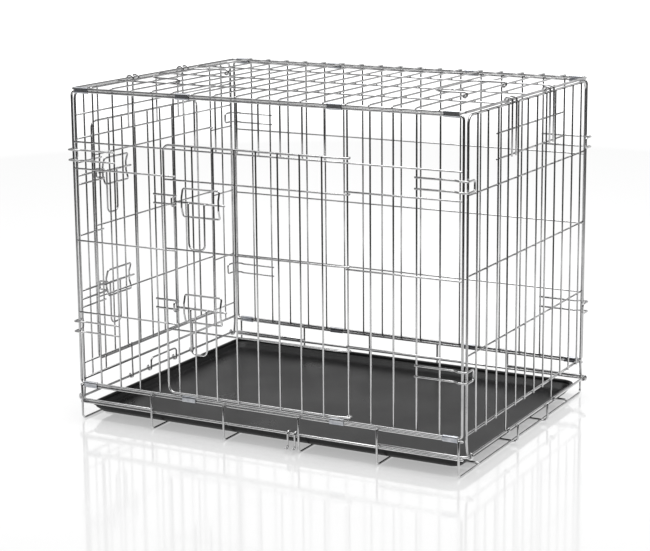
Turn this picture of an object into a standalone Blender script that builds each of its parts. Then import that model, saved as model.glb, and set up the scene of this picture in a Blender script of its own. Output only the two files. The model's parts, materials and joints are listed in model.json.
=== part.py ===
"""Folding wire dog crate with a side door, an end door and a slide-out tray.

The long side lies along X and the side door faces -Y. All sizes are in metres.
Heights named here are measured from the bottom wire of the side panels, unless they say otherwise.
Each wire is a round tube. Welded wires lie in neighbouring layers and sink a little into each other.
"""

import math

import bmesh
import bpy
from mathutils import Vector

# Wire mesh: the pitch of the bays and their number
BAY = 0.0432
BAYS_LONG = 18
BAYS_DEEP = 13

# Wire radii
FRAME_WIRE = 0.0023
MESH_WIRE = 0.0016
DOOR_WIRE = 0.0020
LATCH_WIRE = 0.0018
BOLT_WIRE = 0.0020

# Clearances
WELD_GAP = 0.0003
WELD_SINK = 0.0007
PLAY = 0.0005
LAP = 0.0020

# Side panels, front and back
PANEL_HEIGHT = 0.5450
SIDE_RAILS = (0.1350, 0.2700, 0.4040)
PANEL_CORNER = 0.0070
OPENING_FIRST_BAY = 5
OPENING_LAST_BAY = 13
OPENING_HEAD = 0.4530

# Base
BASE_DEPTH = 0.0628
LOWER_FLANGE_DROP = 0.0370
FOOT_INSET = 0.0038
FOOT_PAIRS = 3
FOOT_CORNER = 0.0080
FLOOR_RAILS = 4
FLOOR_RAIL_LEFT_OVERHANG = 0.0025
FLOOR_RAIL_RIGHT_OVERHANG = 0.0050
END_WIRE_REACH = 0.0092
END_WIRE_CORNER = 0.0120

# End panels
END_PANEL_REACH = 0.0024
END_LOW_RAILS = (0.1400, 0.2760)
END_TOP_RAIL_DROP = 0.1330
END_BOTTOM = 0.0040
END_CORNER = 0.0150
HOOK_RAIL_DROPS = (0.0890, 0.0450)
HOOK_RAIL_LAST_BAY = 10
RING_BAYS = (4, 9)
RING_JOG = 0.0250
END_OPENING_FIRST_BAY = 2
END_OPENING_LAST_BAY = 11
END_OPENING_SILL = 0.0340

# Top hooks of the end panels
HOOK_BAYS_FROM_MIDDLE = 2
HOOK_HALF_WIDTH = 0.0090
HOOK_FOOT_LAP = 0.0030
HOOK_INWARD = 0.0140
HOOK_LIP = 0.0050
HOOK_LIP_CORNER = 0.0040
HOOK_ARC_STEPS = 6

# Top panel
TOP_RAIL_BAYS = (-3.25, 0.0, 3.25)

# Side door
SIDE_DOOR_OVERLAP = 0.0182
SIDE_DOOR_BOTTOM = 0.0080
SIDE_DOOR_HEAD_OVERLAP = 0.0080
SIDE_DOOR_RAILS = (0.1260, 0.2740, 0.3990)
DOOR_CORNER = 0.0120

# End door
END_DOOR_OVERLAP = 0.0146
END_DOOR_SILL_OVERLAP = 0.0080
END_DOOR_HEAD_OVERLAP = 0.0240
END_DOOR_LOW_RAILS = (0.1460, 0.2830)
END_DOOR_TOP_RAIL_DROP = 0.0390
END_DOOR_FAR_BAY = 10

# Wire curls round another wire
CURL_SWEEP = math.radians(255)
CURL_STEPS = 7
CURL_RUN = 0.0200

# Meshing: edges flatter than this are shaded smooth, and points closer than this are merged
SMOOTH_ANGLE = math.radians(65)
MERGE_DISTANCE = 0.00001
FOOT_SECTION_TILT = math.radians(22.5)

# Latches, alike on both doors
BOLT_LENGTH = 0.1050
GUIDE_CENTRE_FROM_TIP = 0.0565
GUIDE_WIDTH = 0.0760
GUIDE_HALF_HEIGHT = 0.0250
GUIDE_BULGE_HALF = 0.0090
GUIDE_CORNER = 0.0040
HANDLE_CENTRE_FROM_TIP = 0.0495
HANDLE_WIDTH = 0.0330
HANDLE_DROP = 0.0820
HANDLE_CORNER = 0.0100
HANDLE_NECK = 0.0030
HANDLE_STAND = 0.0061
TIP_GAP = 0.0007
KEEPER_WIDTH = 0.0160
KEEPER_CORNER = 0.0035
SIDE_BOLT_HEIGHTS = (0.1705, 0.3620)
END_LOW_BOLT_HEIGHT = 0.1630
END_TOP_BOLT_DROP = 0.0770
SIDE_KEEPER_LOOP = 0.0043
SIDE_KEEPER_BAY = 4
END_KEEPER_LOOP = 0.0114

# Corner catches
CATCH_LOW_HEIGHT = 0.1070
CATCH_TOP_DROP = 0.1165
CATCH_WIDTH = 0.0190
CATCH_LENGTH = 0.0990
CATCH_WRAP = 0.0280
CATCH_CORNER = 0.0045
CATCH_JOG_START = 0.0150
CATCH_JOG_END = 0.0060

# Hinge clips
CLIP_BAYS = (0, 5, 12, 17)
CLIP_LENGTH = 0.0280
CLIP_SHEET = 0.0009
CLIP_ARC_STEPS = 4

# Carry bails
BAIL_RIGHT_BAY = 16
BAIL_LEFT_BAY = 3
BAIL_SPAN = 0.1720
BAIL_REACH = 0.0640
BAIL_CORNER = 0.0250
BAIL_LEFT_SHIFT = -0.0450

# Tray
TRAY_FLOOR_INSET = (0.0168, 0.0248)
TRAY_WALL_INSET = (0.0108, 0.0108)
TRAY_LIP_INSET = (0.0058, 0.0048)
TRAY_WALL = 0.0018
TRAY_RIM_CLEARANCE = 0.0011
TRAY_CORNER = 0.0180
TRAY_CORNER_SEGMENTS = 4

# Tray gate
GATE_HALF_WIDTH = 0.0450
GATE_RISE = 0.0200
GATE_CORNER = 0.0080

# Lock hook
LOCK_HOOK_X = 0.0620
LOCK_HOOK_WIDTH = 0.0140
LOCK_HOOK_LEG = 0.0200
LOCK_HOOK_CURL = 0.0050
LOCK_HOOK_SWEEP = math.radians(150)
LOCK_HOOK_STEPS = 5

# Places worked out from the sizes above
HALF_LENGTH = BAY * BAYS_LONG / 2
HALF_DEPTH = BAY * BAYS_DEEP / 2
FOOT_PITCH = 2 * (HALF_LENGTH - FOOT_INSET) / (2 * FOOT_PAIRS - 1)
FLOOR_RAIL_PITCH = 2 * HALF_DEPTH / FLOOR_RAILS
STACK = 2 * FRAME_WIRE + WELD_GAP
LAYER = FRAME_WIRE + MESH_WIRE - WELD_SINK
CROSSING = 2 * MESH_WIRE + WELD_GAP
FOOT_Z = FRAME_WIRE
FLANGE_Z = FOOT_Z + BASE_DEPTH
PANEL_Z = FLANGE_Z + STACK
LOWER_FLANGE_Z = PANEL_Z - LOWER_FLANGE_DROP
END_WIRE_Z = LOWER_FLANGE_Z + STACK
FLOOR_RAIL_Z = FOOT_Z + STACK
TOP_Z = PANEL_Z + PANEL_HEIGHT + STACK
CROSS_Z = TOP_Z + LAYER
END_PLANE = HALF_LENGTH + END_PANEL_REACH
END_WIRE_X = HALF_LENGTH + END_WIRE_REACH
END_TOP = PANEL_HEIGHT - PLAY
HOOK_RAILS = tuple(PANEL_HEIGHT - drop for drop in HOOK_RAIL_DROPS)
END_RAILS = (*END_LOW_RAILS, PANEL_HEIGHT - END_TOP_RAIL_DROP)
END_DOOR_RAILS = (*END_DOOR_LOW_RAILS, HOOK_RAILS[0] - END_DOOR_TOP_RAIL_DROP)
END_BOLT_HEIGHTS = (END_LOW_BOLT_HEIGHT, HOOK_RAILS[0] - END_TOP_BOLT_DROP)
CATCH_HEIGHTS = (CATCH_LOW_HEIGHT, PANEL_HEIGHT - CATCH_TOP_DROP)
HOOK_FOOT = HOOK_RAILS[0] - HOOK_FOOT_LAP
SIDE_DOOR_NEAR = BAY * (OPENING_FIRST_BAY - BAYS_LONG / 2) - SIDE_DOOR_OVERLAP
SIDE_DOOR_TOP = OPENING_HEAD + SIDE_DOOR_HEAD_OVERLAP
END_DOOR_NEAR = BAY * (END_OPENING_FIRST_BAY - BAYS_DEEP / 2) - END_DOOR_OVERLAP
END_DOOR_BOTTOM = END_OPENING_SILL - END_DOOR_SILL_OVERLAP
END_DOOR_TOP = HOOK_RAILS[0] + END_DOOR_HEAD_OVERLAP
HOOK_OUT = FRAME_WIRE + WELD_GAP + LATCH_WIRE
SIDE_DOOR_OUT = FRAME_WIRE + PLAY + DOOR_WIRE
END_DOOR_OUT = HOOK_OUT + LATCH_WIRE + PLAY + DOOR_WIRE
MESH_CURL = MESH_WIRE + PLAY + MESH_WIRE
DOOR_CURL = MESH_WIRE + PLAY + DOOR_WIRE
HINGE_REACH = DOOR_CURL + DOOR_WIRE
END_HALF_DEPTH = HALF_DEPTH - LAYER - HINGE_REACH - FRAME_WIRE - PLAY
KEEPER_OUT = MESH_WIRE + LATCH_WIRE - WELD_SINK

X_AXIS = Vector((1, 0, 0))
Y_AXIS = Vector((0, 1, 0))
Z_AXIS = Vector((0, 0, 1))


class Face:
    """A side of the crate, which turns (along, height, out) into a point."""

    def __init__(self, origin, along, out):
        self.origin = Vector(origin)
        self.along = along
        self.out = out

    def at(self, along, height, out=0.0):
        """Return the point at these three distances from the face's origin."""
        return self.origin + self.along * along + Z_AXIS * height + self.out * out


FRONT = Face((0, -HALF_DEPTH, PANEL_Z), X_AXIS, -Y_AXIS)
BACK = Face((0, HALF_DEPTH, PANEL_Z), X_AXIS, Y_AXIS)
LEFT = Face((-END_PLANE, 0, PANEL_Z), Y_AXIS, -X_AXIS)
RIGHT = Face((END_PLANE, 0, PANEL_Z), Y_AXIS, X_AXIS)


class Wire:
    """A tube along points, open with flat ends or closed into a ring."""

    def __init__(self, points, radius, closed=False):
        self.points = points
        self.radius = radius
        self.closed = closed


def long_line(bay):
    """Return the X of a bay line, counted from the left end."""
    return (bay - BAYS_LONG / 2) * BAY


def deep_line(bay):
    """Return the Y of a bay line, counted from the front."""
    return (bay - BAYS_DEEP / 2) * BAY


def rounded(points, radii, closed=False, steps=3):
    """Replace the corners of a line by arcs. One radius serves all corners, or a list gives each its own.

    A corner whose radius is 0 stays sharp.
    """
    count = len(points)
    inner = range(count) if closed else range(1, count - 1)
    if not isinstance(radii, (list, tuple)):
        radii = [radii] * len(inner)
    line = [] if closed else [points[0]]
    for index, radius in zip(inner, radii):
        corner = points[index]
        if radius == 0:
            line.append(corner)
            continue
        back = (points[index - 1] - corner).normalized()
        ahead = (points[(index + 1) % count] - corner).normalized()
        half = back.angle(ahead) / 2
        centre = corner + (back + ahead).normalized() * (radius / math.sin(half))
        start = corner + back * (radius / math.tan(half)) - centre
        end = corner + ahead * (radius / math.tan(half)) - centre
        line += [centre + start.slerp(end, step / steps) * radius for step in range(steps + 1)]
    if not closed:
        line.append(points[-1])
    return line


def curl(centre, towards, side, offset, radius, run=CURL_RUN):
    """Return an arc round a wire, which a straight run meets as a tangent.

    The run comes from centre + towards * run + side * offset, passes the wire on that side and
    goes on round it, and stops short of closing the ring.
    """
    start = math.atan2(offset, run) + math.acos(radius / math.hypot(run, offset))
    angles = [start + CURL_SWEEP * step / CURL_STEPS for step in range(CURL_STEPS + 1)]
    return [centre + (towards * math.cos(a) + side * math.sin(a)) * radius for a in angles]


def material(name, colour, roughness, metallic):
    """Return a plain material of its own for one object."""
    made = bpy.data.materials.new(name)
    made.use_nodes = True
    shader = made.node_tree.nodes["Principled BSDF"]
    shader.inputs["Base Color"].default_value = (*colour, 1.0)
    shader.inputs["Roughness"].default_value = roughness
    shader.inputs["Metallic"].default_value = metallic
    made.diffuse_color = (*colour, 1.0)
    return made


def zinc(name):
    """Bright zinc-plated wire."""
    return material(name + "_zinc", (0.40, 0.41, 0.42), 0.35, 1.0)


def sheet(name):
    """Bluish plated sheet metal."""
    return material(name + "_sheet", (0.30, 0.32, 0.37), 0.40, 1.0)


def plastic(name):
    """Black moulded plastic."""
    return material(name + "_plastic", (0.035, 0.035, 0.037), 0.55, 0.0)


class Crate:
    """Holds the collection and the empty that carries every piece."""

    def __init__(self):
        self.collection = bpy.data.collections.new("dog_crate")
        bpy.context.scene.collection.children.link(self.collection)
        self.root = bpy.data.objects.new("dog_crate_origin", None)
        self.collection.objects.link(self.root)

    def add(self, name, data, finish, pivot=(0, 0, 0)):
        """Link a piece under the root, with its origin at the pivot."""
        piece = bpy.data.objects.new(name, data)
        data.materials.append(finish)
        piece.location = pivot
        piece.parent = self.root
        self.collection.objects.link(piece)
        return piece

    def wire(self, name, wire, pivot=(0, 0, 0), sides=6, tilt=0.0):
        """Add a single wire as a tube with its origin at the pivot. The tilt turns its section."""
        curve = bpy.data.curves.new(name, "CURVE")
        curve.dimensions = "3D"
        curve.fill_mode = "FULL"
        curve.use_fill_caps = True
        curve.bevel_depth = wire.radius
        curve.bevel_resolution = (sides - 4) // 2
        origin = Vector(pivot)
        spline = curve.splines.new("POLY")
        spline.points.add(len(wire.points) - 1)
        for point, place in zip(spline.points, wire.points):
            point.co = (*(place - origin), 1.0)
            point.tilt = tilt
        spline.use_cyclic_u = wire.closed
        return self.add(name, curve, zinc(name), pivot)

    def solid(self, tube):
        """Turn a tube into a mesh with welded caps, and remove the tube."""
        bpy.context.view_layer.update()
        graph = bpy.context.evaluated_depsgraph_get()
        mesh = bpy.data.meshes.new_from_object(tube.evaluated_get(graph))
        welder = bmesh.new()
        welder.from_mesh(mesh)
        bmesh.ops.remove_doubles(welder, verts=welder.verts, dist=MERGE_DISTANCE)
        bmesh.ops.recalc_face_normals(welder, faces=welder.faces)
        welder.to_mesh(mesh)
        welder.free()
        bpy.data.objects.remove(tube)
        return mesh

    def welded(self, name, wires, pivot=(0, 0, 0)):
        """Add one body made of wires that touch, by a union of their tubes."""
        bodies = [self.solid(self.wire(f"{name}_{index}", wire, pivot)) for index, wire in enumerate(wires)]
        rest = bmesh.new()
        for mesh in bodies[1:]:
            rest.from_mesh(mesh)
        joined = bpy.data.meshes.new(name)
        rest.to_mesh(joined)
        rest.free()
        piece = self.add(name, joined, zinc(name), pivot)
        first = self.add(name + "_first", bodies[0], zinc(name + "_first"), pivot)
        union = piece.modifiers.new("weld", "BOOLEAN")
        union.operation = "UNION"
        union.solver = "EXACT"
        union.use_self = True
        union.object = first
        bpy.context.view_layer.update()
        graph = bpy.context.evaluated_depsgraph_get()
        mesh = bpy.data.meshes.new_from_object(piece.evaluated_get(graph))
        piece.modifiers.clear()
        bpy.data.objects.remove(first)
        piece.data = mesh
        mesh.shade_smooth()
        mesh.set_sharp_from_angle(angle=SMOOTH_ANGLE)
        return piece

    def centre_on_floor(self):
        """Move the root so that the box round all pieces stands centred on the origin."""
        bpy.context.view_layer.update()
        graph = bpy.context.evaluated_depsgraph_get()
        low = Vector((math.inf,) * 3)
        high = -low
        for piece in self.root.children:
            mesh = bpy.data.meshes.new_from_object(piece.evaluated_get(graph))
            for vertex in mesh.vertices:
                place = piece.matrix_world @ vertex.co
                low = Vector(map(min, low, place))
                high = Vector(map(max, high, place))
            bpy.data.meshes.remove(mesh)
        self.root.location = (-(low.x + high.x) / 2, -(low.y + high.y) / 2, -low.z)


def panel_frame(face, half_width, height):
    """Return a side panel's frame loop."""
    corners = [
        face.at(-half_width, 0),
        face.at(half_width, 0),
        face.at(half_width, height),
        face.at(-half_width, height),
    ]
    return Wire(rounded(corners, PANEL_CORNER, closed=True), FRAME_WIRE, closed=True)


def straight(start, end, radius=MESH_WIRE):
    """Return a straight wire."""
    return Wire([start, end], radius)


def front_panel(crate):
    """Side panel with the opening for the side door."""
    wires = [panel_frame(FRONT, HALF_LENGTH, PANEL_HEIGHT)]
    for bay in range(1, BAYS_LONG):
        cut = OPENING_FIRST_BAY < bay < OPENING_LAST_BAY
        foot = OPENING_HEAD - MESH_WIRE if cut else -FRAME_WIRE
        x = long_line(bay)
        wires.append(straight(FRONT.at(x, foot, -LAYER), FRONT.at(x, PANEL_HEIGHT + FRAME_WIRE, -LAYER)))
    rail_out = CROSSING - LAYER
    reach = HALF_LENGTH
    wires.append(straight(FRONT.at(-reach, OPENING_HEAD, rail_out), FRONT.at(reach, OPENING_HEAD, rail_out)))
    for height in SIDE_RAILS:
        left_end = long_line(OPENING_FIRST_BAY) + LAP
        right_end = long_line(OPENING_LAST_BAY) - LAP
        wires.append(straight(FRONT.at(-reach, height, rail_out), FRONT.at(left_end, height, rail_out)))
        wires.append(straight(FRONT.at(right_end, height, rail_out), FRONT.at(reach, height, rail_out)))
    keeper_start = long_line(SIDE_KEEPER_BAY) - LAP
    wires += [latch.keeper(keeper_start, KEEPER_OUT - LAYER) for latch in side_latches()]
    crate.welded("front_panel", wires + catch_wires(FRONT))


def back_panel(crate):
    """Closed side panel."""
    wires = [panel_frame(BACK, HALF_LENGTH, PANEL_HEIGHT)]
    for bay in range(1, BAYS_LONG):
        x = long_line(bay)
        wires.append(straight(BACK.at(x, -FRAME_WIRE, -LAYER), BACK.at(x, PANEL_HEIGHT + FRAME_WIRE, -LAYER)))
    rail_out = CROSSING - LAYER
    reach = HALF_LENGTH
    for height in SIDE_RAILS:
        wires.append(straight(BACK.at(-reach, height, rail_out), BACK.at(reach, height, rail_out)))
    crate.welded("back_panel", wires + catch_wires(BACK))


def top_panel(crate):
    """Roof, whose frame lies on the side panels' top wires."""
    corners = [
        Vector((-HALF_LENGTH, -HALF_DEPTH, TOP_Z)),
        Vector((HALF_LENGTH, -HALF_DEPTH, TOP_Z)),
        Vector((HALF_LENGTH, HALF_DEPTH, TOP_Z)),
        Vector((-HALF_LENGTH, HALF_DEPTH, TOP_Z)),
    ]
    wires = [Wire(rounded(corners, PANEL_CORNER, closed=True), FRAME_WIRE, closed=True)]
    overhang = HALF_DEPTH + FRAME_WIRE
    for bay in range(1, BAYS_LONG):
        x = long_line(bay)
        wires.append(straight(Vector((x, -overhang, CROSS_Z)), Vector((x, overhang, CROSS_Z))))
    reach = HALF_LENGTH
    z = CROSS_Z - CROSSING
    for bays in TOP_RAIL_BAYS:
        wires.append(straight(Vector((-reach, bays * BAY, z)), Vector((reach, bays * BAY, z))))
    crate.welded("top_panel", wires)


def base(crate):
    """Cross wires on the floor, long wires on them, flange wires at the sides and the end wires."""
    turned_up = HALF_DEPTH + STACK
    for index in range(2 * FOOT_PAIRS):
        x = (index - FOOT_PAIRS + 0.5) * FOOT_PITCH
        corners = [
            Vector((x, -turned_up, FLANGE_Z + FRAME_WIRE)),
            Vector((x, -turned_up, FOOT_Z)),
            Vector((x, turned_up, FOOT_Z)),
            Vector((x, turned_up, FLANGE_Z + FRAME_WIRE)),
        ]
        foot = Wire(rounded(corners, FOOT_CORNER), FRAME_WIRE)
        crate.wire(f"base_cross_wire_{index + 1}", foot, sides=8, tilt=FOOT_SECTION_TILT)
    reach = HALF_LENGTH + FRAME_WIRE
    for side, name in ((-1, "front"), (1, "back")):
        y = side * HALF_DEPTH
        for z, level in ((FLANGE_Z, "flange_wire"), (LOWER_FLANGE_Z, "lower_flange_wire")):
            line = straight(Vector((-reach, y, z)), Vector((reach, y, z)), FRAME_WIRE)
            crate.wire(f"base_{name}_{level}", line, sides=8)
    stop = END_WIRE_X + STACK
    last_foot = HALF_LENGTH - FOOT_INSET
    left_end = -last_foot - FLOOR_RAIL_LEFT_OVERHANG
    right_end = last_foot + FLOOR_RAIL_RIGHT_OVERHANG
    for side, name in ((-1, "front"), (1, "back")):
        y = side * FLOOR_RAIL_PITCH / 2
        corners = [
            Vector((left_end, y, FLOOR_RAIL_Z)),
            Vector((stop, y, FLOOR_RAIL_Z)),
            Vector((stop, y, END_WIRE_Z + FRAME_WIRE)),
        ]
        crate.wire(f"base_{name}_middle_floor_wire", Wire(rounded(corners, FOOT_CORNER), FRAME_WIRE), sides=8)
        y += side * FLOOR_RAIL_PITCH
        ends = [Vector((x, y, FLOOR_RAIL_Z)) for x in (left_end, right_end)]
        crate.wire(f"base_{name}_outer_floor_wire", Wire(ends, FRAME_WIRE), sides=8)
    for side, name in ((-1, "left"), (1, "right")):
        inner = side * FOOT_PITCH * (FOOT_PAIRS - 1.5)
        end = side * END_WIRE_X
        corners = [
            Vector((inner, -HALF_DEPTH, END_WIRE_Z)),
            Vector((end, -HALF_DEPTH, END_WIRE_Z)),
            Vector((end, HALF_DEPTH, END_WIRE_Z)),
            Vector((inner, HALF_DEPTH, END_WIRE_Z)),
        ]
        crate.wire(f"base_{name}_end_wire", Wire(rounded(corners, END_WIRE_CORNER), FRAME_WIRE), sides=8)


def ring(face, along, leg_out, wire):
    """Return the line of a leg's foot that ends in a ring round the end wire, from the top down."""
    centre = face.at(along, END_WIRE_Z - PANEL_Z, END_WIRE_X - END_PLANE)
    radius = FRAME_WIRE + PLAY + wire
    offset = END_WIRE_X - END_PLANE - leg_out
    jog = face.at(along, END_WIRE_Z - PANEL_Z + RING_JOG, leg_out)
    return [jog] + curl(centre, Z_AXIS, -face.out, offset, radius, RING_JOG)


def end_frame(face):
    """Return an end panel's frame: two legs with rings at their feet, joined at the top."""
    near = ring(face, -END_HALF_DEPTH, 0.0, FRAME_WIRE)
    far = ring(face, END_HALF_DEPTH, 0.0, FRAME_WIRE)
    corners = [near[0], face.at(-END_HALF_DEPTH, END_TOP), face.at(END_HALF_DEPTH, END_TOP), far[0]]
    line = near[::-1][:-1] + rounded(corners, END_CORNER) + far[1:]
    return Wire(line, FRAME_WIRE)


def end_rail(face, height, start=None, end=None, radius=MESH_WIRE):
    """Return a horizontal wire of an end panel, from leg to leg unless a start or an end is given."""
    reach = END_HALF_DEPTH
    out = LAYER - CROSSING if radius == MESH_WIRE else 0.0
    start = -reach if start is None else start
    end = reach if end is None else end
    return straight(face.at(start, height, out), face.at(end, height, out), radius)


def right_end_panel(crate):
    """Closed end panel, which turns on the right end wire."""
    wires = [end_frame(RIGHT), end_rail(RIGHT, END_BOTTOM, radius=FRAME_WIRE)]
    for bay in range(1, BAYS_DEEP):
        y = deep_line(bay)
        head = RIGHT.at(y, END_TOP + FRAME_WIRE, LAYER)
        if bay in RING_BAYS:
            wires.append(Wire([head] + ring(RIGHT, y, LAYER, MESH_WIRE), MESH_WIRE))
        else:
            wires.append(straight(head, RIGHT.at(y, END_BOTTOM - FRAME_WIRE, LAYER)))
    for height in END_RAILS:
        wires.append(end_rail(RIGHT, height))
    reach = deep_line(HOOK_RAIL_LAST_BAY) + LAP
    out = LAYER - 2 * MESH_WIRE + WELD_SINK
    for height in HOOK_RAILS:
        wires.append(straight(RIGHT.at(-reach, height, out), RIGHT.at(reach, height, out)))
    crate.welded("right_end_panel", wires, pivot=(END_WIRE_X, 0, END_WIRE_Z))


def left_end_panel(crate):
    """End panel with the opening for the end door, which turns on the left end wire."""
    wires = [end_frame(LEFT), end_rail(LEFT, END_BOTTOM, radius=FRAME_WIRE), end_rail(LEFT, END_OPENING_SILL)]
    for bay in range(1, BAYS_DEEP):
        y = deep_line(bay)
        head = LEFT.at(y, END_TOP + FRAME_WIRE, LAYER)
        if bay <= END_OPENING_FIRST_BAY or bay >= END_OPENING_LAST_BAY:
            wires.append(straight(head, LEFT.at(y, END_BOTTOM - FRAME_WIRE, LAYER)))
        elif bay in RING_BAYS:
            sill = LEFT.at(y, END_OPENING_SILL + MESH_WIRE, LAYER)
            wires.append(Wire([sill] + ring(LEFT, y, LAYER, MESH_WIRE), MESH_WIRE))
    middle_foot = LEFT.at(0, HOOK_RAILS[0] - MESH_WIRE, LAYER)
    wires.append(straight(LEFT.at(0, END_TOP + FRAME_WIRE, LAYER), middle_foot))
    for height in HOOK_RAILS:
        wires.append(end_rail(LEFT, height))
    for height in END_RAILS:
        wires.append(end_rail(LEFT, height, end=deep_line(END_OPENING_FIRST_BAY) + LAP))
        wires.append(end_rail(LEFT, height, start=deep_line(END_OPENING_LAST_BAY) - LAP))
    keeper_start = -END_HALF_DEPTH + FRAME_WIRE + WELD_GAP
    wires += [latch.keeper(keeper_start, LAYER - KEEPER_OUT) for latch in end_latches()]
    crate.welded("left_end_panel", wires, pivot=(-END_WIRE_X, 0, END_WIRE_Z))


def top_hooks(crate, name, face, pivot):
    """Two hairpin spring hooks that reach over the roof's end wire."""
    out = HOOK_OUT
    crown = PANEL_HEIGHT + STACK
    rise = FRAME_WIRE + PLAY + LATCH_WIRE
    for side, place in ((-1, "front"), (1, "back")):
        legs = []
        for edge in (-1, 1):
            y = side * HOOK_BAYS_FROM_MIDDLE * BAY + edge * HOOK_HALF_WIDTH
            leg = [face.at(y, HOOK_FOOT, out)]
            for step in range(HOOK_ARC_STEPS + 1):
                angle = math.pi * step / HOOK_ARC_STEPS
                across = out - HOOK_INWARD / 2 * (1 - math.cos(angle))
                leg.append(face.at(y, crown + rise * math.sin(angle), across))
            leg.append(face.at(y, crown - HOOK_LIP, out - HOOK_INWARD))
            legs.append(leg)
        lip = rounded([legs[0][-2], legs[0][-1], legs[1][-1], legs[1][-2]], HOOK_LIP_CORNER)
        line = legs[0][:-2] + lip + legs[1][:-2][::-1]
        crate.wire(f"{name}_{place}_top_hook", Wire(line, LATCH_WIRE), pivot=pivot)


def door_rail(face, height, near, hinge, hinge_out, rail_out):
    """Return a door's horizontal wire, which curls round the hinge wire."""
    centre = face.at(hinge, height, hinge_out)
    start = face.at(near, height, rail_out)
    bend = face.at(hinge - CURL_RUN, height, rail_out)
    curled = curl(centre, -face.along, face.out, rail_out - hinge_out, MESH_CURL)
    return Wire([start, bend] + curled, MESH_WIRE)


def door_layers(frame_out):
    """Return how far out a door's rails and its vertical wires lie."""
    stile_out = frame_out + DOOR_WIRE + MESH_WIRE - WELD_SINK
    return stile_out - CROSSING, stile_out


def side_door(crate):
    """Door of the front panel, hung on the panel's vertical wire at the right of the opening."""
    hinge = long_line(OPENING_LAST_BAY)
    centre = FRONT.at(hinge, 0, -LAYER)
    rail_out, stile_out = door_layers(SIDE_DOOR_OUT)
    curled = curl(centre, -X_AXIS, FRONT.out, SIDE_DOOR_OUT + LAYER, DOOR_CURL)
    corners = [
        FRONT.at(hinge - CURL_RUN, SIDE_DOOR_TOP, SIDE_DOOR_OUT),
        FRONT.at(SIDE_DOOR_NEAR, SIDE_DOOR_TOP, SIDE_DOOR_OUT),
        FRONT.at(SIDE_DOOR_NEAR, SIDE_DOOR_BOTTOM, SIDE_DOOR_OUT),
        FRONT.at(hinge - CURL_RUN, SIDE_DOOR_BOTTOM, SIDE_DOOR_OUT),
    ]
    line = [p + Z_AXIS * SIDE_DOOR_TOP for p in curled[::-1]]
    line += rounded(corners, DOOR_CORNER)
    line += [p + Z_AXIS * SIDE_DOOR_BOTTOM for p in curled]
    wires = [Wire(line, DOOR_WIRE)]
    for height in SIDE_DOOR_RAILS:
        wires.append(door_rail(FRONT, height, SIDE_DOOR_NEAR, hinge, -LAYER, rail_out))
    for bay in range(OPENING_FIRST_BAY + 1, OPENING_LAST_BAY):
        x = long_line(bay)
        foot = FRONT.at(x, SIDE_DOOR_BOTTOM - DOOR_WIRE, stile_out)
        wires.append(straight(foot, FRONT.at(x, SIDE_DOOR_TOP + DOOR_WIRE, stile_out)))
    crate.welded("side_door", wires, pivot=FRONT.at(hinge, 0, -LAYER))


def end_door(crate):
    """Door of the left end panel, hung on the panel's vertical wire at the back of the opening."""
    hinge = deep_line(END_OPENING_LAST_BAY)
    far = deep_line(END_DOOR_FAR_BAY)
    rail_out, stile_out = door_layers(END_DOOR_OUT)
    centre = LEFT.at(hinge, END_DOOR_BOTTOM, LAYER)
    curled = curl(centre, -Y_AXIS, LEFT.out, END_DOOR_OUT - LAYER, DOOR_CURL)
    bottom_edge = END_DOOR_BOTTOM + 2 * DOOR_WIRE + WELD_GAP
    corners = [
        LEFT.at(hinge - CURL_RUN, END_DOOR_BOTTOM, END_DOOR_OUT),
        LEFT.at(END_DOOR_NEAR, END_DOOR_BOTTOM, END_DOOR_OUT),
        LEFT.at(END_DOOR_NEAR, END_DOOR_TOP, END_DOOR_OUT),
        LEFT.at(far, END_DOOR_TOP, END_DOOR_OUT),
        LEFT.at(far, bottom_edge, END_DOOR_OUT),
    ]
    wires = [Wire(curled[::-1] + rounded(corners, DOOR_CORNER), DOOR_WIRE)]
    for height in END_DOOR_RAILS:
        wires.append(door_rail(LEFT, height, END_DOOR_NEAR, hinge, LAYER, rail_out))
    for bay in range(END_OPENING_FIRST_BAY + 1, END_DOOR_FAR_BAY):
        y = deep_line(bay)
        foot = LEFT.at(y, END_DOOR_BOTTOM - DOOR_WIRE, stile_out)
        wires.append(straight(foot, LEFT.at(y, END_DOOR_TOP + DOOR_WIRE, stile_out)))
    crate.welded("end_door", wires, pivot=LEFT.at(hinge, 0, LAYER))


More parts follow.
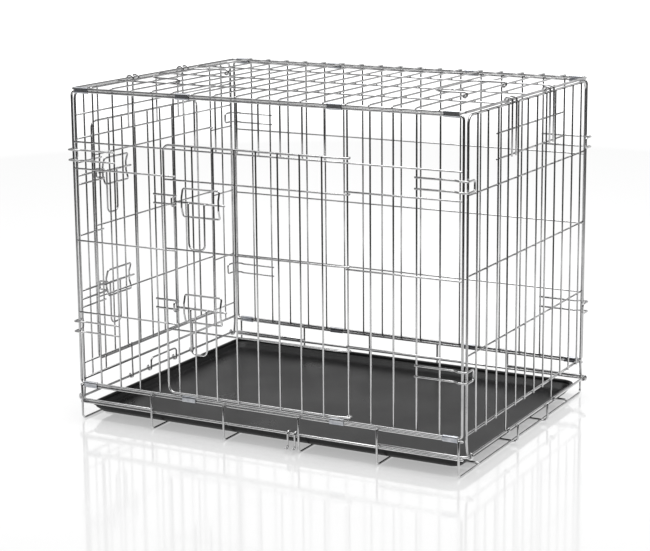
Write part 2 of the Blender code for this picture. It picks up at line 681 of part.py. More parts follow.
class Latch:
    """A sliding bolt in a wire guide on a door, with the handle that hangs on it."""

    def __init__(self, face, loop, height, stile_out):
        self.face = face
        self.height = height
        self.stile_out = stile_out
        self.loop = loop
        self.tip = loop + LATCH_WIRE + TIP_GAP
        self.out = stile_out + MESH_WIRE + PLAY + BOLT_WIRE
        self.over_bolt = self.out + BOLT_WIRE + PLAY + LATCH_WIRE

    def guide(self):
        """Return the wire frame whose sides bulge out over the bolt."""
        centre = self.tip + GUIDE_CENTRE_FROM_TIP
        rest = self.stile_out + MESH_WIRE + WELD_GAP + LATCH_WIRE
        half = GUIDE_WIDTH / 2
        line = []
        for side in (1, -1):
            for rise in (side * GUIDE_HALF_HEIGHT, side * GUIDE_BULGE_HALF):
                out = rest if abs(rise) == GUIDE_HALF_HEIGHT else self.over_bolt
                line.append(self.face.at(centre + side * half, self.height + rise, out))
            for rise in (-side * GUIDE_BULGE_HALF, -side * GUIDE_HALF_HEIGHT):
                out = rest if abs(rise) == GUIDE_HALF_HEIGHT else self.over_bolt
                line.append(self.face.at(centre + side * half, self.height + rise, out))
        return Wire(rounded(line, GUIDE_CORNER, closed=True, steps=2), LATCH_WIRE, closed=True)

    def bolt(self):
        """Return the round bolt."""
        start = self.face.at(self.tip, self.height, self.out)
        return Wire([start, start + self.face.along * BOLT_LENGTH], BOLT_WIRE)

    def handle(self):
        """Return the U of wire that hangs on the bolt and swings about it."""
        centre = self.tip + HANDLE_CENTRE_FROM_TIP
        half = HANDLE_WIDTH / 2
        seat = self.out + BOLT_WIRE + WELD_GAP
        leg = self.out + HANDLE_STAND
        foot = self.height - HANDLE_DROP
        line = [
            self.face.at(centre - half, self.height, seat),
            self.face.at(centre - half, self.height, leg),
            self.face.at(centre - half, foot, leg),
            self.face.at(centre + half, foot, leg),
            self.face.at(centre + half, self.height, leg),
            self.face.at(centre + half, self.height, seat),
        ]
        return Wire(rounded(line, [HANDLE_NECK, HANDLE_CORNER, HANDLE_CORNER, HANDLE_NECK]), LATCH_WIRE)

    def keeper(self, start, out):
        """Return the staple on the panel, whose loop takes the bolt."""
        line = []
        for side in (1, -1):
            height = self.height + side * KEEPER_WIDTH / 2
            arm = [
                self.face.at(start, height, out),
                self.face.at(self.loop, height, out),
                self.face.at(self.loop, height, self.over_bolt),
            ]
            line += arm if side == 1 else arm[::-1]
        return Wire(rounded(line, KEEPER_CORNER), LATCH_WIRE)

    def pivot(self):
        """Return a point on the bolt's axis."""
        return self.face.at(self.tip, self.height, self.out)


def side_latches():
    """Return the lower and the upper latch of the side door."""
    loop = long_line(OPENING_FIRST_BAY) + SIDE_KEEPER_LOOP
    stile_out = door_layers(SIDE_DOOR_OUT)[1]
    return [Latch(FRONT, loop, height, stile_out) for height in SIDE_BOLT_HEIGHTS]


def end_latches():
    """Return the lower and the upper latch of the end door."""
    loop = deep_line(END_OPENING_FIRST_BAY) + END_KEEPER_LOOP
    stile_out = door_layers(END_DOOR_OUT)[1]
    return [Latch(LEFT, loop, height, stile_out) for height in END_BOLT_HEIGHTS]


def latches(crate):
    """Add guide, bolt and handle of both latches on both doors."""
    for door, pair in (("side_door", side_latches()), ("end_door", end_latches())):
        for place, latch in zip(("lower", "upper"), pair):
            prefix = f"{door}_{place}"
            crate.wire(prefix + "_latch_guide", latch.guide(), pivot=latch.pivot())
            crate.wire(prefix + "_bolt", latch.bolt(), pivot=latch.pivot(), sides=8)
            crate.wire(prefix + "_handle", latch.handle(), pivot=latch.pivot())


def catch_wires(face):
    """Return the bent wires at both ends of a side panel that reach round the end panels."""
    inner_out = MESH_WIRE + LATCH_WIRE - WELD_SINK - LAYER
    outer_out = FRAME_WIRE + WELD_GAP + LATCH_WIRE
    wrap_x = END_PLANE + LAYER + MESH_WIRE + PLAY + LATCH_WIRE
    wires = []
    for end in (-1, 1):
        for height in CATCH_HEIGHTS:
            line = []
            for edge in (1, -1):
                z = height + edge * CATCH_WIDTH / 2
                arm = [
                    face.at(end * (wrap_x - CATCH_LENGTH), z, inner_out),
                    face.at(end * (HALF_LENGTH - CATCH_JOG_START), z, inner_out),
                    face.at(end * (HALF_LENGTH - CATCH_JOG_END), z, outer_out),
                    face.at(end * wrap_x, z, outer_out),
                    face.at(end * wrap_x, z, outer_out - CATCH_WRAP),
                ]
                line += arm if edge == 1 else arm[::-1]
            radii = [0, 0, CATCH_CORNER, CATCH_CORNER, CATCH_CORNER, CATCH_CORNER, 0, 0]
            wires.append(Wire(rounded(line, radii, steps=2), LATCH_WIRE))
    return wires


def stadium(half_gap, radius):
    """Return the outline of two half circles joined by straight sides, in the XY plane."""
    outline = []
    for turn in (0, 1):
        for step in range(CLIP_ARC_STEPS + 1):
            angle = math.pi * (turn + step / CLIP_ARC_STEPS)
            rise = half_gap if turn == 0 else -half_gap
            outline.append((radius * math.cos(angle), rise + radius * math.sin(angle)))
    return outline


def hinge_clips(crate):
    """Folded sheet-metal clips round the stacked wires of two panels."""
    inner = FRAME_WIRE + WELD_GAP
    for side, side_name in ((-1, "front"), (1, "back")):
        for z, level in ((PANEL_Z, "bottom"), (TOP_Z, "top")):
            for number, bay in enumerate(CLIP_BAYS, 1):
                name = f"{level}_{side_name}_clip_{number}"
                curve = bpy.data.curves.new(name, "CURVE")
                curve.dimensions = "2D"
                curve.fill_mode = "BOTH"
                curve.extrude = CLIP_LENGTH / 2
                for radius in (inner + CLIP_SHEET, inner):
                    spline = curve.splines.new("POLY")
                    outline = stadium(STACK / 2, radius)
                    spline.points.add(len(outline) - 1)
                    for point, place in zip(spline.points, outline):
                        point.co = (*place, 0.0, 1.0)
                    spline.use_cyclic_u = True
                middle = (long_line(bay) + BAY / 2, side * HALF_DEPTH, z - STACK / 2)
                clip = crate.add(name, curve, sheet(name), pivot=middle)
                clip.rotation_euler = (math.pi / 2, 0, math.pi / 2)


def carry_bails(crate):
    """Two wire handles that lie on the roof, each hung on a cross wire by an eye at either foot."""
    radius = MESH_WIRE + PLAY + FRAME_WIRE
    places = (("right_carry_bail", BAIL_RIGHT_BAY, 0.0), ("left_carry_bail", BAIL_LEFT_BAY, BAIL_LEFT_SHIFT))
    for name, bay, shift in places:
        axis = Vector((long_line(bay), shift, CROSS_Z))
        near = axis - Y_AXIS * (BAIL_SPAN / 2)
        far = axis + Y_AXIS * (BAIL_SPAN / 2)
        rise = Z_AXIS * radius
        reach = X_AXIS * -BAIL_REACH
        near_eye = curl(near, -X_AXIS, Z_AXIS, radius, radius)
        far_eye = curl(far, -X_AXIS, Z_AXIS, radius, radius)
        corners = [near + rise, near + rise + reach, far + rise + reach, far + rise]
        bar = rounded(corners, BAIL_CORNER, steps=5)
        crate.wire(name, Wire(near_eye[::-1] + bar[1:-1] + far_eye, FRAME_WIRE), pivot=axis)


def tray(crate):
    """Plastic pan with sloping walls and a flat lip, which lies on the floor wires."""
    low = FLOOR_RAIL_Z + FRAME_WIRE + WELD_GAP + TRAY_WALL / 2
    folded_frame = END_WIRE_Z - (END_WIRE_X - END_PLANE) - FRAME_WIRE
    rim = folded_frame - TRAY_RIM_CLEARANCE - TRAY_WALL / 2
    pan = bmesh.new()
    outline = []
    sizes = []
    for inset in (TRAY_FLOOR_INSET, TRAY_WALL_INSET, TRAY_LIP_INSET):
        sizes.append((HALF_LENGTH - inset[0], HALF_DEPTH - inset[1]))
    size = sizes[0]
    half_x, half_y = size
    for turn, (sx, sy) in enumerate(((1, 1), (-1, 1), (-1, -1), (1, -1))):
        for step in range(TRAY_CORNER_SEGMENTS + 1):
            angle = math.pi / 2 * (turn + step / TRAY_CORNER_SEGMENTS)
            x = sx * (half_x - TRAY_CORNER) + TRAY_CORNER * math.cos(angle)
            y = sy * (half_y - TRAY_CORNER) + TRAY_CORNER * math.sin(angle)
            outline.append(pan.verts.new((x, y, 0.0)))
    pan.faces.new(outline)
    edges = list(pan.edges)
    wall_top = rim - low
    for half in sizes[1:]:
        made = bmesh.ops.extrude_edge_only(pan, edges=edges)["geom"]
        for vertex in [item for item in made if isinstance(item, bmesh.types.BMVert)]:
            vertex.co = Vector((vertex.co.x * half[0] / size[0], vertex.co.y * half[1] / size[1], wall_top))
        edges = [item for item in made if isinstance(item, bmesh.types.BMEdge) and item.is_boundary]
        size = half
    bmesh.ops.recalc_face_normals(pan, faces=pan.faces)
    mesh = bpy.data.meshes.new("tray")
    pan.to_mesh(mesh)
    pan.free()
    piece = crate.add("tray", mesh, plastic("tray"), pivot=(0, 0, low))
    thickness = piece.modifiers.new("wall", "SOLIDIFY")
    thickness.thickness = TRAY_WALL
    thickness.offset = 0.0
    thickness.use_even_offset = True
    return piece


def tray_gate(crate):
    """Small wire gate on the left end wire, which turns down to hold the tray in."""
    axis = Vector((-END_WIRE_X, 0, END_WIRE_Z))
    radius = FRAME_WIRE + PLAY + LATCH_WIRE
    near = axis - Y_AXIS * GATE_HALF_WIDTH
    far = axis + Y_AXIS * GATE_HALF_WIDTH
    side = X_AXIS * radius
    rise = Z_AXIS * GATE_RISE
    bar = rounded([near + side, near + side + rise, far + side + rise, far + side], GATE_CORNER)
    near_eye = curl(near, Z_AXIS, X_AXIS, radius, radius)
    far_eye = curl(far, Z_AXIS, X_AXIS, radius, radius)
    crate.wire("tray_gate", Wire(near_eye[::-1] + bar[1:-1] + far_eye, LATCH_WIRE), pivot=axis)


def lock_hook(crate):
    """Double wire hook that hangs on the front lower flange wire."""
    axis = Vector((LOCK_HOOK_X, -HALF_DEPTH, LOWER_FLANGE_Z))
    radius = FRAME_WIRE + PLAY + LATCH_WIRE
    halves = []
    for side in (-1, 1):
        centre = axis + X_AXIS * (side * LOCK_HOOK_WIDTH / 2)
        eye = curl(centre, -Z_AXIS, -Y_AXIS, radius, radius)
        foot = centre - Y_AXIS * radius - Z_AXIS * LOCK_HOOK_LEG
        tip = []
        for step in range(1, LOCK_HOOK_STEPS + 1):
            angle = LOCK_HOOK_SWEEP * step / LOCK_HOOK_STEPS
            out = Y_AXIS * (LOCK_HOOK_CURL * (math.cos(angle) - 1))
            tip.append(foot + out - Z_AXIS * (LOCK_HOOK_CURL * math.sin(angle)))
        halves.append(tip[::-1] + [foot] + eye)
    crate.wire("lock_hook", Wire(halves[0] + halves[1][::-1], LATCH_WIRE), pivot=axis)


def main():
    """Build the crate in an empty scene."""
    for old in list(bpy.data.objects):
        bpy.data.objects.remove(old)
    crate = Crate()
    base(crate)
    front_panel(crate)
    back_panel(crate)
    top_panel(crate)
    left_end_panel(crate)
    right_end_panel(crate)
    top_hooks(crate, "left", LEFT, (-END_WIRE_X, 0, END_WIRE_Z))
    top_hooks(crate, "right", RIGHT, (END_WIRE_X, 0, END_WIRE_Z))
    side_door(crate)
    end_door(crate)
    latches(crate)
    hinge_clips(crate)
    carry_bails(crate)
    tray(crate)
    tray_gate(crate)
    lock_hook(crate)
    crate.centre_on_floor()


main()
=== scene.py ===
"""Looks of a folding wire dog crate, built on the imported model.

The long side lies along X, the side door faces -Y and the end door faces -X. Sizes are in metres.
Heights on a panel are measured from the bottom wire of the side panels. Points are first worked out
round the crate's own middle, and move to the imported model's place when a piece is drawn.
"""

import json
import logging
import math
from dataclasses import dataclass
from enum import Enum
from typing import Iterable, Sequence

import bmesh
import bpy
from mathutils import Matrix, Vector
from mathutils.geometry import intersect_line_line


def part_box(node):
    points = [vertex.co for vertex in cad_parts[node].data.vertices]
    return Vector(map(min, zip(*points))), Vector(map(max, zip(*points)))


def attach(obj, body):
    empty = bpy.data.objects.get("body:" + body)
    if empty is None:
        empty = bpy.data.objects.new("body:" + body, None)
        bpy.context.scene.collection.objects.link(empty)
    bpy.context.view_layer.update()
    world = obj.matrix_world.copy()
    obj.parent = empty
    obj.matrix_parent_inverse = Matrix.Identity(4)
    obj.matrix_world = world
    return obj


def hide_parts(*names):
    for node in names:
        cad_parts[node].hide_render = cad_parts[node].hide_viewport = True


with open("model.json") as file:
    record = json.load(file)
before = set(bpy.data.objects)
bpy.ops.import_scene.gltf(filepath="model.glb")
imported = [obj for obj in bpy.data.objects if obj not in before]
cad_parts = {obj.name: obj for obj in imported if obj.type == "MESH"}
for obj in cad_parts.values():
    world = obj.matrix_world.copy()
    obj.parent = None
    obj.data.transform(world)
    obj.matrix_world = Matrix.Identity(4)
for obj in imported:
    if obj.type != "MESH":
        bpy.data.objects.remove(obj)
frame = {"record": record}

log = logging.getLogger("dog_crate")

Socket = bpy.types.NodeSocket

# Attributes that only the drawing of a piece needs
DRAWING_ATTRIBUTES = ("thick", "bead", "bead_axis", "bead_size")

# Layout shared by all panels. A wire is given by its radius.
BAY = 0.0432
BAYS_LONG = 18
BAYS_DEEP = 13
FRAME_WIRE = 0.0023
MESH_WIRE = 0.0016
DOOR_WIRE = 0.0020
LATCH_WIRE = 0.0018
BOLT_WIRE = 0.0020
WELD_GAP = 0.0003
WELD_SINK = 0.0007
PLAY = 0.0005
LAP = 0.0020
PANEL_HEIGHT = 0.5450
PANEL_CORNER = 0.0070
SIDE_OPENING = (5, 13)
SIDE_OPENING_HEAD = 0.4530
END_OPENING = (2, 11)
END_OPENING_SILL = 0.0340
HOOK_RAILS = (0.4560, 0.5000)
RING_BAYS = (4, 9)
BASE_DEPTH = 0.0628
LOWER_FLANGE_DROP = 0.0370
END_PLANE_STEP = 0.0024
END_WIRE_STEP = 0.0092

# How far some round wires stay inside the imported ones
TRIM = 0.0003

# Curls round a wire, and where two wires count as touching
CURL_RUN = 0.0200
CURL_DEGREES = 255
CURL_STEPS = 16
WELD_REACH = WELD_GAP + 0.0002
LEAST_GAP = 0.0001
PARALLEL_COSINE = 0.7
RECENT_WELDS = 3

# Places worked out from the layout
HALF_LENGTH = BAY * BAYS_LONG / 2
HALF_DEPTH = BAY * BAYS_DEEP / 2
STACK = 2 * FRAME_WIRE + WELD_GAP
LAYER = FRAME_WIRE + MESH_WIRE - WELD_SINK
CROSSING = 2 * MESH_WIRE + WELD_GAP
FOOT_Z = FRAME_WIRE
FLANGE_Z = FOOT_Z + BASE_DEPTH
PANEL_Z = FLANGE_Z + STACK
LOWER_FLANGE_Z = PANEL_Z - LOWER_FLANGE_DROP
END_WIRE_Z = LOWER_FLANGE_Z + STACK
FLOOR_RAIL_Z = FOOT_Z + STACK
TOP_Z = PANEL_Z + PANEL_HEIGHT + STACK
CROSS_Z = TOP_Z + LAYER
END_PLANE = HALF_LENGTH + END_PLANE_STEP
END_WIRE_X = HALF_LENGTH + END_WIRE_STEP
END_TOP = PANEL_HEIGHT - PLAY
HOOK_OUT = FRAME_WIRE + WELD_GAP + LATCH_WIRE
SIDE_DOOR_OUT = FRAME_WIRE + PLAY + DOOR_WIRE
END_DOOR_OUT = HOOK_OUT + LATCH_WIRE + PLAY + DOOR_WIRE
MESH_CURL = MESH_WIRE + PLAY + MESH_WIRE
DOOR_CURL = MESH_WIRE + PLAY + DOOR_WIRE
END_HALF_DEPTH = HALF_DEPTH - LAYER - DOOR_CURL - DOOR_WIRE - FRAME_WIRE - PLAY
KEEPER_OUT = MESH_WIRE + LATCH_WIRE - WELD_SINK

X_AXIS = Vector((1, 0, 0))
Y_AXIS = Vector((0, 1, 0))
Z_AXIS = Vector((0, 0, 1))


def packed_middle() -> Vector:
    """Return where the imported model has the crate's own middle at floor level.

    Returns:
        The offset from the layout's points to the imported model's.
    """
    low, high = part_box("base_front_flange_wire")
    return (low + high) / 2 - Vector((0, -HALF_DEPTH, FLANGE_Z))


ORIGIN = packed_middle()
BODY_OF = {node: body for body, nodes in frame["record"]["behaviour"]["bodies"].items() for node in nodes}


def line_x(bay: float) -> float:
    """Return the X of a bay line, counted from the left end."""
    return (bay - BAYS_LONG / 2) * BAY


def line_y(bay: float) -> float:
    """Return the Y of a bay line, counted from the front."""
    return (bay - BAYS_DEEP / 2) * BAY


@dataclass(frozen=True)
class Wire:
    """A round wire along points, cut at both ends or closed into a ring."""

    points: Sequence[Vector]
    radius: float
    closed: bool = False

    def segments(self) -> Iterable[tuple[Vector, Vector]]:
        """Go through the straight stretches between neighbouring points.

        Yields:
            Each stretch's two ends.
        """
        yield from zip(self.points, self.points[1:])
        if self.closed:
            yield self.points[-1], self.points[0]


@dataclass(frozen=True)
class Weld:
    """A spot weld between two wires."""

    place: Vector
    axis: Vector
    radius: float


def straight(start: Vector, end: Vector, radius: float = MESH_WIRE) -> Wire:
    """Return a straight wire."""
    return Wire([start, end], radius)


@dataclass(frozen=True)
class Face:
    """A side of the crate, which turns (along, height, out) into a point."""

    origin: Vector
    along: Vector
    out: Vector

    def at(self, along: float, height: float, out: float = 0.0) -> Vector:
        """Return the point at these three distances from the face's origin."""
        return self.origin + self.along * along + Z_AXIS * height + self.out * out

    def post(self, along: float, start: float, end: float, out: float) -> Wire:
        """Return a thin upright wire from one height to another."""
        return straight(self.at(along, start, out), self.at(along, end, out))

    def bar(self, height: float, start: float, end: float, out: float) -> Wire:
        """Return a thin level wire from one place to another."""
        return straight(self.at(start, height, out), self.at(end, height, out))

    def loop(self, along: float, top: float) -> Wire:
        """Return the thick ring wire of a panel that reaches so far to both sides and up."""
        corners = [self.at(x, z) for x, z in ((-along, 0), (along, 0), (along, top), (-along, top))]
        return Wire(rounded(corners, PANEL_CORNER, closed=True), FRAME_WIRE, closed=True)


FRONT = Face(Vector((0, -HALF_DEPTH, PANEL_Z)), X_AXIS, -Y_AXIS)
BACK = Face(Vector((0, HALF_DEPTH, PANEL_Z)), X_AXIS, Y_AXIS)
LEFT = Face(Vector((-END_PLANE, 0, PANEL_Z)), Y_AXIS, -X_AXIS)
RIGHT = Face(Vector((END_PLANE, 0, PANEL_Z)), Y_AXIS, X_AXIS)


def rounded(points: Sequence[Vector], radii: float | Sequence[float], closed: bool = False,
            steps: int = 6) -> list[Vector]:
    """Replace the corners of a line by arcs.

    Args:
        points: The line's corners.
        radii: One radius for all corners, or one for each.
        closed: Whether the line is a ring.
        steps: Chords for each arc.

    Returns:
        The finer line.
    """
    count = len(points)
    inner = range(count) if closed else range(1, count - 1)
    each = list(radii) if isinstance(radii, (list, tuple)) else [radii] * len(inner)
    line = [] if closed else [points[0]]
    for index, radius in zip(inner, each):
        corner = points[index]
        back = (points[index - 1] - corner).normalized()
        ahead = (points[(index + 1) % count] - corner).normalized()
        half = back.angle(ahead) / 2
        centre = corner + (back + ahead).normalized() * (radius / math.sin(half))
        start = corner + back * (radius / math.tan(half)) - centre
        end = corner + ahead * (radius / math.tan(half)) - centre
        line += [centre + start.slerp(end, step / steps) * radius for step in range(steps + 1)]
    if not closed:
        line.append(points[-1])
    return line


def curl(centre: Vector, towards: Vector, side: Vector, offset: float, radius: float,
         run: float = CURL_RUN) -> list[Vector]:
    """Return an arc round a wire, which a straight run meets as a tangent.

    Args:
        centre: A point on the wire that the arc goes round.
        towards: The direction from the wire to the start of the run.
        side: The side on which the run passes the wire.
        offset: How far the run's start lies to that side.
        radius: The arc's radius.
        run: How far along towards the run starts.

    Returns:
        The arc's points, in order from the run.
    """
    start = math.atan2(offset, run) + math.acos(radius / math.hypot(run, offset))
    turn = math.radians(CURL_DEGREES)
    angles = [start + turn * step / CURL_STEPS for step in range(CURL_STEPS + 1)]
    return [centre + (towards * math.cos(a) + side * math.sin(a)) * radius for a in angles]


def nearest(start: Vector, end: Vector, point: Vector) -> Vector:
    """Return the point of a straight stretch that lies nearest to a given one."""
    run = end - start
    return start + run * min(1.0, max(0.0, (point - start).dot(run) / run.length_squared))


def touches(first: Wire, second: Wire, reach: float) -> Iterable[Weld]:
    """Find where two wires cross within reach of one another.

    Args:
        first: One wire.
        second: The other wire.
        reach: The greatest distance between their middles that still counts.

    Yields:
        A weld in the middle of the gap at each such place.
    """
    for a, b in first.segments():
        for c, d in second.segments():
            met = intersect_line_line(a, b, c, d)
            if met is None or abs((b - a).normalized().dot((d - c).normalized())) > PARALLEL_COSINE:
                continue
            place = nearest(a, b, met[0])
            gap = nearest(c, d, met[1]) - place
            if LEAST_GAP < gap.length < reach:
                axis = gap.normalized()
                middle = first.radius + (gap.length - first.radius - second.radius) / 2
                yield Weld(place + axis * middle, axis, min(first.radius, second.radius))


def spot_welds(wires: Sequence[Wire], others: Sequence[Wire] = ()) -> list[Weld]:
    """Find where wires touch, so that each place gets a weld bead.

    Args:
        wires: The wires to look at, against one another.
        others: More wires that the first ones are held against.

    Returns:
        One weld for each crossing.
    """
    pairs = [(a, b) for index, a in enumerate(wires) for b in wires[index + 1:]]
    pairs += [(a, b) for a in wires for b in others]
    welds: list[Weld] = []
    for first, second in pairs:
        reach = first.radius + second.radius + WELD_REACH
        for weld in touches(first, second, reach):
            if all((weld.place - other.place).length > reach for other in welds[-RECENT_WELDS:]):
                welds.append(weld)
    return welds


class Tree:
    """A small helper that places and links nodes of any node tree."""

    def __init__(self, tree: bpy.types.NodeTree) -> None:
        """Keep the tree."""
        self.tree = tree

    def fill(self, node: bpy.types.Node, inputs: dict) -> None:
        """Give a node's inputs their values.

        Args:
            node: The node.
            inputs: Values or output sockets for its inputs, by name or number.
        """
        for name, value in inputs.items():
            if isinstance(value, Socket):
                self.tree.links.new(value, node.inputs[name])
            else:
                node.inputs[name].default_value = value

    def add(self, kind: str, inputs: dict | None = None, **settings: object) -> bpy.types.Node:
        """Add a node.

        Args:
            kind: The node's type name.
            inputs: Values or output sockets for its inputs, by name or number.
            settings: Properties of the node.

        Returns:
            The new node.
        """
        node = self.tree.nodes.new(kind)
        for name, value in settings.items():
            setattr(node, name, value)
        self.fill(node, inputs or {})
        return node

    def socket(self, name: str, kind: str, output: bool = False) -> bpy.types.NodeTreeInterfaceSocket:
        """Add a named input or output to a group."""
        return self.tree.interface.new_socket(name, in_out="OUTPUT" if output else "INPUT", socket_type=kind)

    def ramp(self, value: Socket, low: float = 0.0, high: float = 1.0, start: float = 0.0,
             end: float = 1.0) -> Socket:
        """Return a value whose range from low to high is mapped to start and end."""
        return self.add("ShaderNodeMapRange", {"Value": value, 1: low, 2: high, 3: start, 4: end}).outputs[0]

    def calculate(self, operation: str, first: Socket, second: Socket) -> Socket:
        """Return what a named operation makes of two values."""
        return self.add("ShaderNodeMath", {0: first, 1: second}, operation=operation).outputs[0]

    def mix(self, factor: Socket, first: object, second: object) -> Socket:
        """Return a mix of two colours or colour sockets."""
        return self.add("ShaderNodeMix", {0: factor, 6: first, 7: second}, data_type="RGBA").outputs[2]

    def pick(self, choice: Socket, no: object, yes: object) -> Socket:
        """Return the first value or socket where the choice is 0, and the second where it is 1."""
        return self.add("ShaderNodeMix", {0: choice, 2: no, 3: yes}, data_type="FLOAT").outputs[0]

    def attribute(self, name: str, kind: str = "FLOAT") -> Socket:
        """Return a named attribute of a drawing."""
        node = self.add("GeometryNodeInputNamedAttribute", {"Name": name}, data_type=kind)
        return node.outputs["Attribute"]


class Texture(Enum):
    """What a finish's fine relief looks like, as its stretch along the three axes."""

    DRAWN = (1.0, 1.0, 0.25)
    ROLLED = (0.12, 1.0, 1.0)
    MOULDED = (1.0, 1.0, 1.0)


class SurfaceMarks:
    """The shader group that all finishes share: soft patches, small specks and a fine relief."""

    PATCH_RANGE = (0.34, 0.68)
    PATCH_DETAIL = 4.0
    SPECK_EDGE = (0.06, 0.22)
    SPECK_SHARE = (0.62, 0.80)
    RELIEF_DETAIL = 3.0

    def __init__(self) -> None:
        """Build the group once."""
        self.group = bpy.data.node_groups.new("surface_marks", "ShaderNodeTree")
        tree = Tree(self.group)
        for name in ("Patch Scale", "Speck Scale", "Relief Scale"):
            tree.socket(name, "NodeSocketFloat")
        tree.socket("Relief Stretch", "NodeSocketVector")
        for name in ("Patches", "Specks", "Relief"):
            tree.socket(name, "NodeSocketFloat", output=True)
        given = tree.add("NodeGroupInput").outputs
        place = tree.add("ShaderNodeTexCoord").outputs["Object"]
        patch = tree.add("ShaderNodeTexNoise", {
            "Vector": place, "Scale": given["Patch Scale"], "Detail": self.PATCH_DETAIL})
        speck = tree.add("ShaderNodeTexVoronoi", {"Vector": place, "Scale": given["Speck Scale"]}).outputs
        near = tree.ramp(speck["Distance"], *self.SPECK_EDGE, 1.0, 0.0)
        rare = tree.ramp(speck["Color"], *self.SPECK_SHARE)
        pulled = tree.add(
            "ShaderNodeVectorMath", {0: place, 1: given["Relief Stretch"]}, operation="MULTIPLY")
        relief = tree.add("ShaderNodeTexNoise", {
            "Vector": pulled.outputs[0], "Scale": given["Relief Scale"], "Detail": self.RELIEF_DETAIL})
        tree.add("NodeGroupOutput", {
            "Patches": tree.ramp(patch.outputs["Fac"], *self.PATCH_RANGE),
            "Specks": tree.calculate("MULTIPLY", near, rare),
            "Relief": relief.outputs["Fac"]})


@dataclass(frozen=True)
class Finish:
    """One of the crate's finishes."""

    name: str
    slot: str
    texture: Texture
    colour: tuple[float, float, float]
    patch_colour: tuple[float, float, float]
    speck_colour: tuple[float, float, float]
    metallic: float
    smooth: float
    rough: float
    patch_scale: float
    speck_scale: float
    relief_scale: float
    relief: float
    specular: float = 0.5
    relief_depth: float = 0.0002

    def material(self, marks: SurfaceMarks) -> bpy.types.Material:
        """Make the finish's material.

        Args:
            marks: The shared shader group.

        Returns:
            The material.
        """
        made = bpy.data.materials.new(self.name)
        made.use_nodes = True
        made.diffuse_color = (*self.colour, 1.0)
        tree = Tree(made.node_tree)
        effect = tree.add("ShaderNodeGroup", {
            "Patch Scale": self.patch_scale, "Speck Scale": self.speck_scale,
            "Relief Scale": self.relief_scale, "Relief Stretch": self.texture.value,
        }, node_tree=marks.group).outputs
        base = tree.mix(effect["Patches"], (*self.colour, 1.0), (*self.patch_colour, 1.0))
        bump = tree.add("ShaderNodeBump", {
            "Height": effect["Relief"], "Strength": self.relief, "Distance": self.relief_depth})
        tree.fill(made.node_tree.nodes["Principled BSDF"], {
            "Base Color": tree.mix(effect["Specks"], base, (*self.speck_colour, 1.0)),
            "Roughness": tree.ramp(effect["Patches"], start=self.smooth, end=self.rough),
            "Normal": bump.outputs[0],
            "Metallic": self.metallic,
            "Specular IOR Level": self.specular})
        return made


ZINC_WIRE = Finish(
    name="bright_zinc_wire", slot="zinc_wire", texture=Texture.DRAWN,
    colour=(0.67, 0.67, 0.67), patch_colour=(0.54, 0.54, 0.545), speck_colour=(0.36, 0.36, 0.36),
    metallic=1.0, smooth=0.12, rough=0.24,
    patch_scale=26.0, speck_scale=420.0, relief_scale=1400.0, relief=0.25)
CLIP_SHEET = Finish(
    name="blue_zinc_sheet", slot="clip_sheet", texture=Texture.ROLLED,
    colour=(0.64, 0.65, 0.67), patch_colour=(0.42, 0.44, 0.48), speck_colour=(0.70, 0.71, 0.72),
    metallic=1.0, smooth=0.30, rough=0.44,
    patch_scale=90.0, speck_scale=500.0, relief_scale=900.0, relief=0.35)
TRAY_PLASTIC = Finish(
    name="black_moulded_plastic", slot="tray_plastic", texture=Texture.MOULDED,
    colour=(0.006, 0.006, 0.0062), patch_colour=(0.010, 0.010, 0.0102), speck_colour=(0.040, 0.040, 0.040),
    metallic=0.0, smooth=0.27, rough=0.36, specular=0.22,
    patch_scale=7.0, speck_scale=160.0, relief_scale=1100.0, relief=0.30)


def add_object(name: str, data: bpy.types.ID) -> bpy.types.Object:
    """Put a mesh, lamp or camera into the scene.

    Args:
        name: The object's name.
        data: The mesh, lamp or camera.

    Returns:
        The object.
    """
    made = bpy.data.objects.new(name, data)
    bpy.context.scene.collection.objects.link(made)
    return made


def bridge(shape: bmesh.types.BMesh, rows: Sequence[Sequence[bmesh.types.BMVert]], closed: bool) -> None:
    """Fill the space between neighbouring rows of points with faces.

    Args:
        shape: The shape that gets the faces.
        rows: Rows of equally many points.
        closed: Whether each row is a ring.
    """
    for first, second in zip(rows, rows[1:]):
        for index in range(len(first) if closed else len(first) - 1):
            after = (index + 1) % len(first)
            shape.faces.new((first[index], first[after], second[after], second[index]))


def smooth_mesh(shape: bmesh.types.BMesh, name: str, finish: bpy.types.Material) -> bpy.types.Mesh:
    """Turn a drawn shape into a smooth mesh, and free it.

    Args:
        shape: The shape.
        name: The mesh's name.
        finish: The mesh's material.

    Returns:
        The mesh.
    """
    bmesh.ops.recalc_face_normals(shape, faces=shape.faces)
    mesh = bpy.data.meshes.new(name)
    shape.to_mesh(mesh)
    shape.free()
    mesh.materials.append(finish)
    mesh.shade_smooth()
    return mesh


